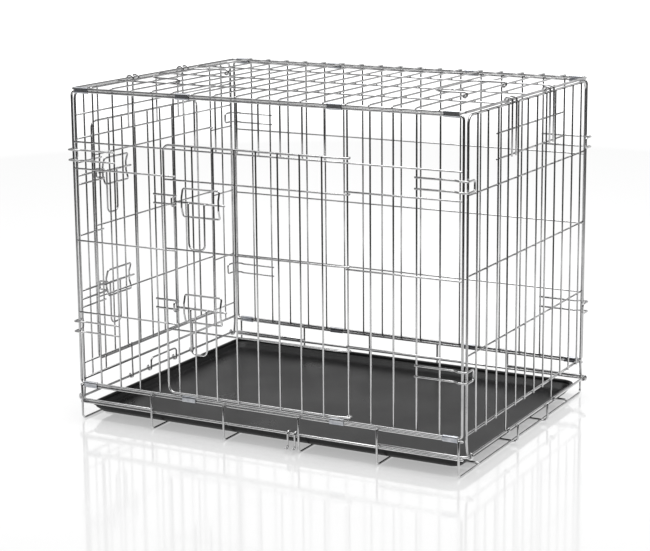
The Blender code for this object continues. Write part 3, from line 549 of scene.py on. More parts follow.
class WireShop:
    """Draws wires and their weld beads with one Geometry Nodes tree."""

    SIDES = 14
    BEAD_SEGMENTS = 8
    BEAD_RINGS = 5
    BEAD_SHAPE = Vector((1.12, 1.12, 0.62))
    CUT_RINGS = ((0.0, 0.62), (0.14, 0.86), (0.42, 1.0))

    def __init__(self, finish: bpy.types.Material) -> None:
        """Build the tree.

        Args:
            finish: The wires' material.
        """
        self.group = bpy.data.node_groups.new("wire_stock", "GeometryNodeTree")
        tree = Tree(self.group)
        tree.socket("Geometry", "NodeSocketGeometry", output=True)
        tree.socket("Geometry", "NodeSocketGeometry")
        self.settings = {
            tree.socket("Sides", "NodeSocketInt").identifier: self.SIDES,
            tree.socket("Bead Segments", "NodeSocketInt").identifier: self.BEAD_SEGMENTS,
            tree.socket("Bead Rings", "NodeSocketInt").identifier: self.BEAD_RINGS,
            tree.socket("Finish", "NodeSocketMaterial").identifier: finish,
        }
        given = tree.add("NodeGroupInput").outputs
        is_bead = tree.add(
            "FunctionNodeCompare", {"A": tree.attribute("bead"), "B": 0.5}, operation="GREATER_THAN")
        parted = tree.add("GeometryNodeSeparateGeometry", {
            "Geometry": given["Geometry"], "Selection": is_bead.outputs[0]}).outputs
        line = tree.add("GeometryNodeMeshToCurve", {"Mesh": parted["Inverted"]})
        circle = tree.add("GeometryNodeCurvePrimitiveCircle", {"Resolution": given["Sides"], "Radius": 1.0})
        tube = tree.add("GeometryNodeCurveToMesh", {
            "Curve": line.outputs[0], "Profile Curve": circle.outputs[0], "Scale": tree.attribute("thick"),
            "Fill Caps": True})
        drop = tree.add("GeometryNodeMeshUVSphere", {
            "Segments": given["Bead Segments"], "Rings": given["Bead Rings"], "Radius": 1.0})
        spot = tree.add("GeometryNodeMeshToPoints", {"Mesh": parted["Selection"]})
        turned = tree.add("FunctionNodeAlignRotationToVector", {
            "Vector": tree.attribute("bead_axis", "FLOAT_VECTOR")}, axis="Z")
        beads = tree.add("GeometryNodeInstanceOnPoints", {
            "Points": spot.outputs[0], "Instance": drop.outputs[0], "Rotation": turned.outputs[0],
            "Scale": tree.attribute("bead_size", "FLOAT_VECTOR")})
        joined = tree.add("GeometryNodeJoinGeometry", {0: beads.outputs[0]})
        tree.fill(joined, {0: tube.outputs[0]})
        smooth = tree.add("GeometryNodeSetShadeSmooth", {"Geometry": joined.outputs[0]})
        real = tree.add("GeometryNodeRealizeInstances", {"Geometry": smooth.outputs[0]})
        dressed = tree.add("GeometryNodeSetMaterial", {
            "Geometry": real.outputs[0], "Material": given["Finish"]})
        tree.add("NodeGroupOutput", {"Geometry": dressed.outputs[0]})

    def _rings(self, wire: Wire) -> list[tuple[Vector, float]]:
        """Return a wire's points with their thickness, with more rings at a cut end.

        Args:
            wire: The wire.

        Returns:
            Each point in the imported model's frame, with the wire's radius there.
        """
        points = [point + ORIGIN for point in wire.points]
        if wire.closed:
            return [(point, wire.radius) for point in points]
        head = (points[1] - points[0]).normalized() * wire.radius
        tail = (points[-2] - points[-1]).normalized() * wire.radius
        start = [(points[0] + head * run, wire.radius * share) for run, share in self.CUT_RINGS]
        end = [(points[-1] + tail * run, wire.radius * share) for run, share in reversed(self.CUT_RINGS)]
        return start + [(point, wire.radius) for point in points[1:-1]] + end

    def _drawing(self, name: str, wires: Sequence[Wire], welds: Sequence[Weld]) -> bpy.types.Mesh:
        """Draw wires as lines and welds as single points, with their sizes as attributes.

        Args:
            name: The drawing's name.
            wires: The wires.
            welds: The spot welds.

        Returns:
            The drawing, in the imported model's frame.
        """
        places: list[Vector] = []
        edges: list[tuple[int, int]] = []
        thick: list[float] = []
        for wire in wires:
            first = len(places)
            rings = self._rings(wire)
            places += [point for point, _ in rings]
            thick += [radius for _, radius in rings]
            edges += [(first + index, first + index + 1) for index in range(len(rings) - 1)]
            if wire.closed:
                edges.append((first + len(rings) - 1, first))
        mesh = bpy.data.meshes.new(name)
        mesh.from_pydata(places + [weld.place + ORIGIN for weld in welds], edges, [])
        blank = [Vector()] * len(places)
        vectors = {
            "bead_axis": blank + [weld.axis for weld in welds],
            "bead_size": blank + [self.BEAD_SHAPE * weld.radius for weld in welds],
        }
        values = {"thick": thick + [0.0] * len(welds), "bead": [0.0] * len(places) + [1.0] * len(welds)}
        for attribute, numbers in values.items():
            mesh.attributes.new(attribute, "FLOAT", "POINT").data.foreach_set("value", numbers)
        for attribute, points in vectors.items():
            flat = [number for point in points for number in point]
            mesh.attributes.new(attribute, "FLOAT_VECTOR", "POINT").data.foreach_set("vector", flat)
        return mesh

    def draw(self, node: str, wires: Sequence[Wire], welds: Sequence[Weld] = ()) -> bpy.types.Object:
        """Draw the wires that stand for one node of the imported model.

        Args:
            node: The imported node.
            wires: Its wires.
            welds: Its spot welds.

        Returns:
            The finished piece.
        """
        lines = add_object(node + "_lines", self._drawing(node + "_lines", wires, welds))
        modifier = lines.modifiers.new("wire_stock", "NODES")
        modifier.node_group = self.group
        for identifier, value in self.settings.items():
            modifier[identifier] = value
        return place_piece(node, lines, (node,), ZINC_WIRE.slot)


def place_piece(name: str, source: bpy.types.Object, nodes: Sequence[str], slot: str) -> bpy.types.Object:
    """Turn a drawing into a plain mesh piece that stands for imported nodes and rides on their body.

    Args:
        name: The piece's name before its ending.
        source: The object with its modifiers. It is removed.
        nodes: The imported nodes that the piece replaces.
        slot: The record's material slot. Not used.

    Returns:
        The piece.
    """
    bpy.context.view_layer.update()
    graph = bpy.context.evaluated_depsgraph_get()
    mesh = bpy.data.meshes.new_from_object(source.evaluated_get(graph))
    bpy.data.objects.remove(source)
    merger = bmesh.new()
    merger.from_mesh(mesh)
    bmesh.ops.recalc_face_normals(merger, faces=merger.faces)
    merger.to_mesh(mesh)
    merger.free()
    for attribute in DRAWING_ATTRIBUTES:
        if attribute in mesh.attributes:
            mesh.attributes.remove(mesh.attributes[attribute])
    piece = add_object(name + "_finished", mesh)
    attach(piece, BODY_OF[nodes[0]])
    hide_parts(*nodes)
    log.info("%s: %d faces", piece.name, len(mesh.polygons))
    return piece


@dataclass
class BaseFrame:
    """Cross wires on the floor, long wires on them, flange wires at the sides and the end wires."""

    feet: int = 6
    foot_inset: float = 0.0038
    foot_corner: float = 0.0080
    floor_rails: int = 4
    left_overhang: float = 0.0025
    right_overhang: float = 0.0050
    end_corner: float = 0.0120

    def wires(self) -> dict[str, Wire]:
        """Work out the base's wires.

        Returns:
            Each wire by its node's name.
        """
        made: dict[str, Wire] = {}
        turned_up = HALF_DEPTH + STACK
        last = HALF_LENGTH - self.foot_inset
        pitch = 2 * last / (self.feet - 1)
        for index in range(self.feet):
            x = index * pitch - last
            low = Vector((x, 0, FOOT_Z))
            high = Vector((x, 0, FLANGE_Z + FRAME_WIRE))
            side = Y_AXIS * turned_up
            line = rounded([high - side, low - side, low + side, high + side], self.foot_corner)
            made[f"base_cross_wire_{index + 1}"] = Wire(line, FRAME_WIRE - TRIM)
        reach = HALF_LENGTH + FRAME_WIRE
        stop = END_WIRE_X + STACK
        rail_pitch = 2 * HALF_DEPTH / self.floor_rails
        for sign, name in ((-1, "front"), (1, "back")):
            y = sign * HALF_DEPTH
            for z, level in ((FLANGE_Z, "flange_wire"), (LOWER_FLANGE_Z, "lower_flange_wire")):
                start, end = Vector((-reach, y, z)), Vector((reach, y, z))
                made[f"base_{name}_{level}"] = straight(start, end, FRAME_WIRE)
            y = sign * rail_pitch / 2
            left = -last - self.left_overhang
            corners = [
                Vector((left, y, FLOOR_RAIL_Z)),
                Vector((stop, y, FLOOR_RAIL_Z)),
                Vector((stop, y, END_WIRE_Z + FRAME_WIRE)),
            ]
            made[f"base_{name}_middle_floor_wire"] = Wire(
                rounded(corners, self.foot_corner), FRAME_WIRE - TRIM)
            y += sign * rail_pitch
            right = last + self.right_overhang
            made[f"base_{name}_outer_floor_wire"] = straight(
                Vector((left, y, FLOOR_RAIL_Z)), Vector((right, y, FLOOR_RAIL_Z)), FRAME_WIRE)
        inner = last - pitch
        for sign, name in ((-1, "left"), (1, "right")):
            ends = [(inner, -1), (END_WIRE_X, -1), (END_WIRE_X, 1), (inner, 1)]
            corners = [Vector((sign * x, side * HALF_DEPTH, END_WIRE_Z)) for x, side in ends]
            made[f"base_{name}_end_wire"] = Wire(rounded(corners, self.end_corner), FRAME_WIRE)
        return made

    def build(self, shop: WireShop) -> None:
        """Draw each wire, with the welds to the wires before it.

        Args:
            shop: Draws the wires.
        """
        drawn: list[Wire] = []
        for node, wire in self.wires().items():
            shop.draw(node, [wire], spot_welds([wire], drawn))
            drawn.append(wire)


@dataclass
class CornerCatches:
    """The bent wires at both ends of a side panel that reach round the end panels."""

    heights: tuple[float, float] = (0.1070, 0.4285)
    width: float = 0.0190
    length: float = 0.0990
    wrap: float = 0.0280
    corner: float = 0.0045
    jog_corner: float = 0.0060
    jog_start: float = 0.0150
    jog_end: float = 0.0060
    arc_steps: int = 5

    def wires(self, face: Face) -> list[Wire]:
        """Work out the four catches of a side panel.

        Args:
            face: The panel's face.

        Returns:
            The catches.
        """
        inner = MESH_WIRE + LATCH_WIRE - WELD_SINK - LAYER
        outer = FRAME_WIRE + WELD_GAP + LATCH_WIRE
        reach = END_PLANE + LAYER + MESH_WIRE + PLAY + LATCH_WIRE
        arm = (
            (reach - self.length, inner),
            (HALF_LENGTH - self.jog_start, inner),
            (HALF_LENGTH - self.jog_end, outer),
            (reach, outer),
            (reach, outer - self.wrap),
        )
        radii = [self.jog_corner] * 2 + [self.corner] * 4 + [self.jog_corner] * 2
        made = []
        for end in (-1, 1):
            for height in self.heights:
                line: list[Vector] = []
                for edge, stretch in ((1, arm), (-1, arm[::-1])):
                    z = height + edge * self.width / 2
                    line += [face.at(end * along, z, out) for along, out in stretch]
                made.append(Wire(rounded(line, radii, steps=self.arc_steps), LATCH_WIRE))
        return made


@dataclass
class SidePanels:
    """The front panel, which has the side door's opening, and the closed back panel."""

    rails: tuple[float, float, float] = (0.1350, 0.2700, 0.4040)
    keeper_bay: int = 4
    rail_out: float = CROSSING - LAYER

    def posts(self, face: Face, cut: Sequence[int] = ()) -> list[Wire]:
        """Work out a panel's upright wires.

        Args:
            face: The panel's face.
            cut: The bays whose wire ends over the door's opening.

        Returns:
            The wires.
        """
        made = []
        for bay in range(1, BAYS_LONG):
            foot = SIDE_OPENING_HEAD - MESH_WIRE if bay in cut else -FRAME_WIRE
            made.append(face.post(line_x(bay), foot, PANEL_HEIGHT + FRAME_WIRE, -LAYER))
        return made

    def front(self, catches: CornerCatches, latches: Sequence["Latch"]) -> list[Wire]:
        """Work out the front panel.

        Args:
            catches: The corner catches.
            latches: The latches whose bolts its keepers take.

        Returns:
            Its wires.
        """
        first, last = SIDE_OPENING
        wires = [FRONT.loop(HALF_LENGTH, PANEL_HEIGHT)] + self.posts(FRONT, range(first + 1, last))
        wires.append(FRONT.bar(SIDE_OPENING_HEAD, -HALF_LENGTH, HALF_LENGTH, self.rail_out))
        for z in self.rails:
            wires.append(FRONT.bar(z, -HALF_LENGTH, line_x(first) + LAP, self.rail_out))
            wires.append(FRONT.bar(z, line_x(last) - LAP, HALF_LENGTH, self.rail_out))
        start = line_x(self.keeper_bay) - LAP
        wires += [latch.keeper(start, KEEPER_OUT - LAYER) for latch in latches]
        return wires + catches.wires(FRONT)

    def back(self, catches: CornerCatches) -> list[Wire]:
        """Work out the back panel.

        Args:
            catches: The corner catches.

        Returns:
            Its wires.
        """
        wires = [BACK.loop(HALF_LENGTH, PANEL_HEIGHT)] + self.posts(BACK)
        wires += [BACK.bar(z, -HALF_LENGTH, HALF_LENGTH, self.rail_out) for z in self.rails]
        return wires + catches.wires(BACK)

    def build(self, shop: WireShop, latches: Sequence["Latch"]) -> None:
        """Draw both panels.

        Args:
            shop: Draws the wires.
            latches: The side door's latches.
        """
        catches = CornerCatches()
        panels = {"front_panel": self.front(catches, latches), "back_panel": self.back(catches)}
        for node, wires in panels.items():
            shop.draw(node, wires, spot_welds(wires))


@dataclass
class Roof:
    """The top panel, whose cross wires lap over its frame."""

    rail_bays: tuple[float, ...] = (-3.25, 0.0, 3.25)
    lap_bend: float = 0.0060
    lap_drop: float = 0.0009

    def wires(self) -> list[Wire]:
        """Work out the roof.

        Returns:
            Its wires.
        """
        signs = ((-1, -1), (1, -1), (1, 1), (-1, 1))
        corners = [Vector((x * HALF_LENGTH, y * HALF_DEPTH, TOP_Z)) for x, y in signs]
        made = [Wire(rounded(corners, PANEL_CORNER, closed=True), FRAME_WIRE, closed=True)]
        over = HALF_DEPTH + FRAME_WIRE
        bend = over - self.lap_bend
        lap = ((-over, self.lap_drop), (-bend, 0.0), (bend, 0.0), (over, self.lap_drop))
        for bay in range(1, BAYS_LONG):
            made.append(Wire([Vector((line_x(bay), y, CROSS_Z - drop)) for y, drop in lap], MESH_WIRE))
        z = CROSS_Z - CROSSING
        for bays in self.rail_bays:
            made.append(straight(Vector((-HALF_LENGTH, bays * BAY, z)), Vector((HALF_LENGTH, bays * BAY, z))))
        return made

    def build(self, shop: WireShop) -> None:
        """Draw the roof."""
        wires = self.wires()
        shop.draw("top_panel", wires, spot_welds(wires))


@dataclass
class EndPanels:
    """The two end panels, which turn on the base's end wires, and their snap hooks."""

    rails: tuple[float, float, float] = (0.1400, 0.2760, 0.4120)
    bottom: float = 0.0040
    corner: float = 0.0150
    hook_rail_last_bay: int = 10
    ring_jog: float = 0.0250
    hook_bays: int = 2
    hook_half_width: float = 0.0090
    hook_foot_lap: float = 0.0030
    hook_inward: float = 0.0140
    hook_lip: float = 0.0050
    hook_lip_corner: float = 0.0040
    hook_arc_steps: int = 12

    def ring(self, face: Face, along: float, leg_out: float, wire: float) -> list[Vector]:
        """Return a leg's foot from the top down, which ends in a ring round the end wire.

        Args:
            face: The end's face.
            along: Where the leg stands.
            leg_out: How far out the leg lies.
            wire: The leg's radius.

        Returns:
            The foot's points.
        """
        reach = END_WIRE_X - END_PLANE
        centre = face.at(along, END_WIRE_Z - PANEL_Z, reach)
        jog = face.at(along, END_WIRE_Z - PANEL_Z + self.ring_jog, leg_out)
        radius = FRAME_WIRE + PLAY + wire - TRIM
        return [jog] + curl(centre, Z_AXIS, -face.out, reach - leg_out, radius, self.ring_jog)

    def frame_wire(self, face: Face) -> Wire:
        """Work out an end panel's frame: two legs with rings at their feet, joined at the top.

        Args:
            face: The end's face.

        Returns:
            The frame's wire.
        """
        near = self.ring(face, -END_HALF_DEPTH, 0.0, FRAME_WIRE)
        far = self.ring(face, END_HALF_DEPTH, 0.0, FRAME_WIRE)
        corners = [near[0], face.at(-END_HALF_DEPTH, END_TOP), face.at(END_HALF_DEPTH, END_TOP), far[0]]
        return Wire(near[::-1][:-1] + rounded(corners, self.corner) + far[1:], FRAME_WIRE)

    def rail(self, face: Face, height: float, start: float = -END_HALF_DEPTH,
             end: float = END_HALF_DEPTH) -> Wire:
        """Return a thin level wire inside the upright ones."""
        return face.bar(height, start, end, LAYER - CROSSING)

    def foot_rail(self, face: Face) -> Wire:
        """Return the thick level wire at the bottom."""
        start = face.at(-END_HALF_DEPTH, self.bottom)
        return straight(start, face.at(END_HALF_DEPTH, self.bottom), FRAME_WIRE)

    def post(self, face: Face, along: float) -> Wire:
        """Return a thin upright wire of full height."""
        return face.post(along, END_TOP + FRAME_WIRE, self.bottom - FRAME_WIRE, LAYER)

    def ring_post(self, face: Face, along: float, top: float) -> Wire:
        """Return a thin upright wire that ends in a ring round the end wire."""
        return Wire([face.at(along, top, LAYER)] + self.ring(face, along, LAYER, MESH_WIRE), MESH_WIRE)

    def right(self) -> list[Wire]:
        """Work out the closed right panel.

        Returns:
            Its wires.
        """
        wires = [self.frame_wire(RIGHT), self.foot_rail(RIGHT)]
        for bay in range(1, BAYS_DEEP):
            if bay in RING_BAYS:
                wires.append(self.ring_post(RIGHT, line_y(bay), END_TOP + FRAME_WIRE))
            else:
                wires.append(self.post(RIGHT, line_y(bay)))
        wires += [self.rail(RIGHT, height) for height in self.rails]
        reach = line_y(self.hook_rail_last_bay) + LAP
        out = LAYER - 2 * MESH_WIRE + WELD_SINK
        return wires + [RIGHT.bar(z, -reach, reach, out) for z in HOOK_RAILS]

    def left(self, latches: Sequence["Latch"]) -> list[Wire]:
        """Work out the left panel, with the end door's opening and keepers.

        Args:
            latches: The latches whose bolts its keepers take.

        Returns:
            Its wires.
        """
        wires = [self.frame_wire(LEFT), self.foot_rail(LEFT), self.rail(LEFT, END_OPENING_SILL)]
        first, last = END_OPENING
        for bay in range(1, BAYS_DEEP):
            if bay <= first or bay >= last:
                wires.append(self.post(LEFT, line_y(bay)))
            elif bay in RING_BAYS:
                wires.append(self.ring_post(LEFT, line_y(bay), END_OPENING_SILL + MESH_WIRE))
        wires.append(LEFT.post(0, END_TOP + FRAME_WIRE, HOOK_RAILS[0] - MESH_WIRE, LAYER))
        wires += [self.rail(LEFT, height) for height in HOOK_RAILS]
        for height in self.rails:
            wires.append(self.rail(LEFT, height, end=line_y(first) + LAP))
            wires.append(self.rail(LEFT, height, start=line_y(last) - LAP))
        start = -END_HALF_DEPTH + FRAME_WIRE + WELD_GAP
        return wires + [latch.keeper(start, LAYER - KEEPER_OUT) for latch in latches]

    def hook(self, face: Face, side: int) -> Wire:
        """Return a hairpin spring hook that reaches over the roof's end wire.

        Args:
            face: The end's face.
            side: -1 for the front hook, 1 for the back one.

        Returns:
            The hook's wire.
        """
        crown = PANEL_HEIGHT + STACK
        rise = FRAME_WIRE + PLAY + LATCH_WIRE
        legs = []
        for edge in (-1, 1):
            y = side * self.hook_bays * BAY + edge * self.hook_half_width
            leg = [face.at(y, HOOK_RAILS[0] - self.hook_foot_lap, HOOK_OUT)]
            for step in range(self.hook_arc_steps + 1):
                angle = math.pi * step / self.hook_arc_steps
                across = HOOK_OUT - self.hook_inward / 2 * (1 - math.cos(angle))
                leg.append(face.at(y, crown + rise * math.sin(angle), across))
            leg.append(face.at(y, crown - self.hook_lip, HOOK_OUT - self.hook_inward))
            legs.append(leg)
        lip = rounded([legs[0][-2], legs[0][-1], legs[1][-1], legs[1][-2]], self.hook_lip_corner)
        return Wire(legs[0][:-2] + lip + legs[1][:-2][::-1], LATCH_WIRE)

    def build(self, shop: WireShop, latches: Sequence["Latch"]) -> None:
        """Draw both panels and the four hooks.

        Args:
            shop: Draws the wires.
            latches: The end door's latches.
        """
        for name, face, wires in (("left", LEFT, self.left(latches)), ("right", RIGHT, self.right())):
            shop.draw(f"{name}_end_panel", wires, spot_welds(wires))
            for side, place in ((-1, "front"), (1, "back")):
                shop.draw(f"{name}_{place}_top_hook", [self.hook(face, side)])


@dataclass
class Latch:
    """A sliding bolt in a wire guide on a door, with the handle that hangs on it."""

    face: Face
    loop: float
    height: float
    stile_out: float
    bolt_length: float = 0.1050
    guide_from_tip: float = 0.0565
    guide_width: float = 0.0760
    guide_half_height: float = 0.0250
    bulge_half: float = 0.0090
    guide_corner: float = 0.0040
    handle_from_tip: float = 0.0495
    handle_width: float = 0.0330
    handle_drop: float = 0.0820
    handle_corner: float = 0.0100
    handle_neck: float = 0.0030
    handle_stand: float = 0.0061
    tip_gap: float = 0.0007
    keeper_width: float = 0.0160
    keeper_corner: float = 0.0035
    arc_steps: int = 5

    def __post_init__(self) -> None:
        """Work out where the bolt's tip and axis lie."""
        self.tip = self.loop + LATCH_WIRE + self.tip_gap
        self.out = self.stile_out + MESH_WIRE + PLAY + BOLT_WIRE
        self.over_bolt = self.out + BOLT_WIRE + PLAY + LATCH_WIRE

    def guide(self) -> Wire:
        """Work out the wire frame whose sides bulge out over the bolt.

        Returns:
            Its wire.
        """
        centre = self.tip + self.guide_from_tip
        rest = self.stile_out + MESH_WIRE + WELD_GAP + LATCH_WIRE
        line = []
        for side in (1, -1):
            along = centre + side * self.guide_width / 2
            steps = ((self.guide_half_height, rest), (self.bulge_half, self.over_bolt),
                     (-self.bulge_half, self.over_bolt), (-self.guide_half_height, rest))
            line += [self.face.at(along, self.height + side * rise, out) for rise, out in steps]
        ring = rounded(line, self.guide_corner, closed=True, steps=self.arc_steps)
        return Wire(ring, LATCH_WIRE, closed=True)

    def bolt(self) -> Wire:
        """Return the round bolt."""
        start = self.face.at(self.tip, self.height, self.out)
        return Wire([start, start + self.face.along * self.bolt_length], BOLT_WIRE)

    def handle(self) -> Wire:
        """Work out the U of wire that hangs on the bolt.

        Returns:
            Its wire.
        """
        centre = self.tip + self.handle_from_tip
        seat = self.out + BOLT_WIRE + WELD_GAP
        leg = self.out + self.handle_stand - TRIM
        foot = self.height - self.handle_drop
        half = self.handle_width / 2
        line = [self.face.at(centre + side * half, z, out) for side, z, out in (
            (-1, self.height, seat), (-1, self.height, leg), (-1, foot, leg),
            (1, foot, leg), (1, self.height, leg), (1, self.height, seat))]
        radii = [self.handle_neck, self.handle_corner, self.handle_corner, self.handle_neck]
        return Wire(rounded(line, radii), LATCH_WIRE)

    def keeper(self, start: float, out: float) -> Wire:
        """Work out the staple on the panel, whose loop takes the bolt.

        Args:
            start: Where its two ends lie along the panel.
            out: How far out they lie.

        Returns:
            Its wire.
        """
        line: list[Vector] = []
        for side in (1, -1):
            z = self.height + side * self.keeper_width / 2
            arm = [self.face.at(along, z, away) for along, away in (
                (start, out), (self.loop, out), (self.loop, self.over_bolt))]
            line += arm if side == 1 else arm[::-1]
        return Wire(rounded(line, self.keeper_corner), LATCH_WIRE)


def door_layers(frame_out: float) -> tuple[float, float]:
    """Return how far out a door's rails and its upright wires lie."""
    upright = frame_out + DOOR_WIRE + MESH_WIRE - WELD_SINK
    return upright - CROSSING, upright


@dataclass
class Doors:
    """Both doors, hung by curls on upright wires, with two slide-bolt latches each."""

    side_overlap: float = 0.0182
    side_bottom: float = 0.0080
    side_head_overlap: float = 0.0080
    side_rails: tuple[float, float, float] = (0.1260, 0.2740, 0.3990)
    side_bolts: tuple[float, float] = (0.1705, 0.3620)
    side_keeper_loop: float = 0.0043
    end_overlap: float = 0.0146
    end_sill_overlap: float = 0.0080
    end_head_overlap: float = 0.0240
    end_rails: tuple[float, float, float] = (0.1460, 0.2830, 0.4170)
    end_bolts: tuple[float, float] = (0.1630, 0.3790)
    end_keeper_loop: float = 0.0114
    end_far_bay: int = 10
    corner: float = 0.0120

    def side_latches(self) -> list[Latch]:
        """Return the side door's lower and upper latch."""
        loop = line_x(SIDE_OPENING[0]) + self.side_keeper_loop
        return [Latch(FRONT, loop, z, door_layers(SIDE_DOOR_OUT)[1]) for z in self.side_bolts]

    def end_latches(self) -> list[Latch]:
        """Return the end door's lower and upper latch."""
        loop = line_y(END_OPENING[0]) + self.end_keeper_loop
        return [Latch(LEFT, loop, z, door_layers(END_DOOR_OUT)[1]) for z in self.end_bolts]

    def rail(self, face: Face, height: float, near: float, hinge: float, hinge_out: float,
             out: float) -> Wire:
        """Return a door's horizontal wire, which curls round the hinge wire.

        Args:
            face: The door's face.
            height: The wire's height.
            near: Where it starts.
            hinge: Where the hinge wire stands.
            hinge_out: How far out the hinge wire lies.
            out: How far out the wire lies.

        Returns:
            The wire.
        """
        curled = curl(face.at(hinge, height, hinge_out), -face.along, face.out, out - hinge_out, MESH_CURL)
        return Wire([face.at(near, height, out), face.at(hinge - CURL_RUN, height, out)] + curled, MESH_WIRE)

    def side_door(self) -> list[Wire]:
        """Work out the side door.

        Returns:
            Its wires.
        """
        hinge = line_x(SIDE_OPENING[1])
        near = line_x(SIDE_OPENING[0]) - self.side_overlap
        top = SIDE_OPENING_HEAD + self.side_head_overlap
        out, upright = door_layers(SIDE_DOOR_OUT)
        curled = curl(FRONT.at(hinge, 0, -LAYER), -X_AXIS, FRONT.out, SIDE_DOOR_OUT + LAYER, DOOR_CURL)
        start = hinge - CURL_RUN
        corners = [FRONT.at(x, z, SIDE_DOOR_OUT) for x, z in (
            (start, top), (near, top), (near, self.side_bottom), (start, self.side_bottom))]
        line = [point + Z_AXIS * top for point in curled[::-1]]
        line += rounded(corners, self.corner)
        line += [point + Z_AXIS * self.side_bottom for point in curled]
        wires = [Wire(line, DOOR_WIRE)]
        wires += [self.rail(FRONT, z, near, hinge, -LAYER, out) for z in self.side_rails]
        for bay in range(SIDE_OPENING[0] + 1, SIDE_OPENING[1]):
            wires.append(FRONT.post(line_x(bay), self.side_bottom - DOOR_WIRE, top + DOOR_WIRE, upright))
        return wires

    def end_door(self) -> list[Wire]:
        """Work out the end door.

        Returns:
            Its wires.
        """
        hinge = line_y(END_OPENING[1])
        far = line_y(self.end_far_bay)
        near = line_y(END_OPENING[0]) - self.end_overlap
        bottom = END_OPENING_SILL - self.end_sill_overlap
        top = HOOK_RAILS[0] + self.end_head_overlap
        out, upright = door_layers(END_DOOR_OUT)
        curled = curl(LEFT.at(hinge, bottom, LAYER), -Y_AXIS, LEFT.out, END_DOOR_OUT - LAYER, DOOR_CURL)
        end = bottom + 2 * DOOR_WIRE + WELD_GAP
        corners = [LEFT.at(y, z, END_DOOR_OUT) for y, z in (
            (hinge - CURL_RUN, bottom), (near, bottom), (near, top), (far, top), (far, end))]
        wires = [Wire(curled[::-1] + rounded(corners, self.corner), DOOR_WIRE)]
        wires += [self.rail(LEFT, z, near, hinge, LAYER, out) for z in self.end_rails]
        for bay in range(END_OPENING[0] + 1, self.end_far_bay):
            wires.append(LEFT.post(line_y(bay), bottom - DOOR_WIRE, top + DOOR_WIRE, upright))
        return wires

    def build(self, shop: WireShop) -> None:
        """Draw both doors and their latches.

        Args:
            shop: Draws the wires.
        """
        pairs = (
            ("side_door", self.side_door(), self.side_latches()),
            ("end_door", self.end_door(), self.end_latches()),
        )
        for door, wires, latches in pairs:
            shop.draw(door, wires, spot_welds(wires))
            for place, latch in zip(("lower", "upper"), latches):
                guide = latch.guide()
                shop.draw(f"{door}_{place}_latch_guide", [guide], spot_welds([guide], wires))
                shop.draw(f"{door}_{place}_bolt", [latch.bolt()])
                shop.draw(f"{door}_{place}_handle", [latch.handle()])


@dataclass
class Fittings:
    """The carry bails, the tray gate and the lock hook."""

    right_bay: int = 16
    left_bay: int = 3
    left_shift: float = -0.0450
    span: float = 0.1720
    reach: float = 0.0640
    bail_corner: float = 0.0250
    arc_steps: int = 10
    gate_half_width: float = 0.0450
    gate_rise: float = 0.0200
    gate_corner: float = 0.0080
    lock_x: float = 0.0620
    lock_width: float = 0.0140
    lock_leg: float = 0.0200
    lock_curl: float = 0.0050
    lock_degrees: float = 150
    lock_steps: int = 12

    def loop(self, axis: Vector, half: float, towards: Vector, side: Vector, reach: float, radius: float,
             corner: float, wire: float) -> Wire:
        """Return a U of wire with an eye at either foot, round a wire along Y.

        Args:
            axis: The middle of the wire that carries it.
            half: Half of its width.
            towards: The direction in which it reaches.
            side: The side of the carrying wire on which its legs start.
            reach: How far it reaches.
            radius: The eyes' radius.
            corner: The U's corner radius.
            wire: Its wire's radius.

        Returns:
            The wire.
        """
        near, far = axis - Y_AXIS * half, axis + Y_AXIS * half
        start, run = side * radius, towards * reach
        corners = [near + start, near + start + run, far + start + run, far + start]
        bar = rounded(corners, corner, steps=self.arc_steps)
        eyes = [curl(foot, towards, side, radius, radius) for foot in (near, far)]
        return Wire(eyes[0][::-1] + bar[1:-1] + eyes[1], wire)

    def lock_hook(self) -> Wire:
        """Work out the double hook on the front lower flange wire.

        Returns:
            Its wire.
        """
        radius = FRAME_WIRE + PLAY + LATCH_WIRE
        halves = []
        for side in (-1, 1):
            centre = Vector((self.lock_x + side * self.lock_width / 2, -HALF_DEPTH, LOWER_FLANGE_Z))
            foot = centre - Y_AXIS * radius - Z_AXIS * self.lock_leg
            tip = []
            for step in range(1, self.lock_steps + 1):
                angle = math.radians(self.lock_degrees) * step / self.lock_steps
                out = Y_AXIS * (self.lock_curl * (math.cos(angle) - 1))
                tip.append(foot + out - Z_AXIS * (self.lock_curl * math.sin(angle)))
            halves.append(tip[::-1] + [foot] + curl(centre, -Z_AXIS, -Y_AXIS, radius, radius))
        return Wire(halves[0] + halves[1][::-1], LATCH_WIRE)

    def build(self, shop: WireShop) -> None:
        """Draw all of them.

        Args:
            shop: Draws the wires.
        """
        radius = MESH_WIRE + PLAY + FRAME_WIRE
        for name, bay, shift in (("right", self.right_bay, 0.0), ("left", self.left_bay, self.left_shift)):
            axis = Vector((line_x(bay), shift, CROSS_Z))
            bail = self.loop(
                axis, self.span / 2, -X_AXIS, Z_AXIS, self.reach, radius, self.bail_corner, FRAME_WIRE - TRIM)
            shop.draw(f"{name}_carry_bail", [bail])
        axis = Vector((-END_WIRE_X, 0, END_WIRE_Z))
        radius = FRAME_WIRE + PLAY + LATCH_WIRE
        gate = self.loop(
            axis, self.gate_half_width, Z_AXIS, X_AXIS, self.gate_rise, radius, self.gate_corner, LATCH_WIRE)
        shop.draw("tray_gate", [gate])
        shop.draw("lock_hook", [self.lock_hook()])


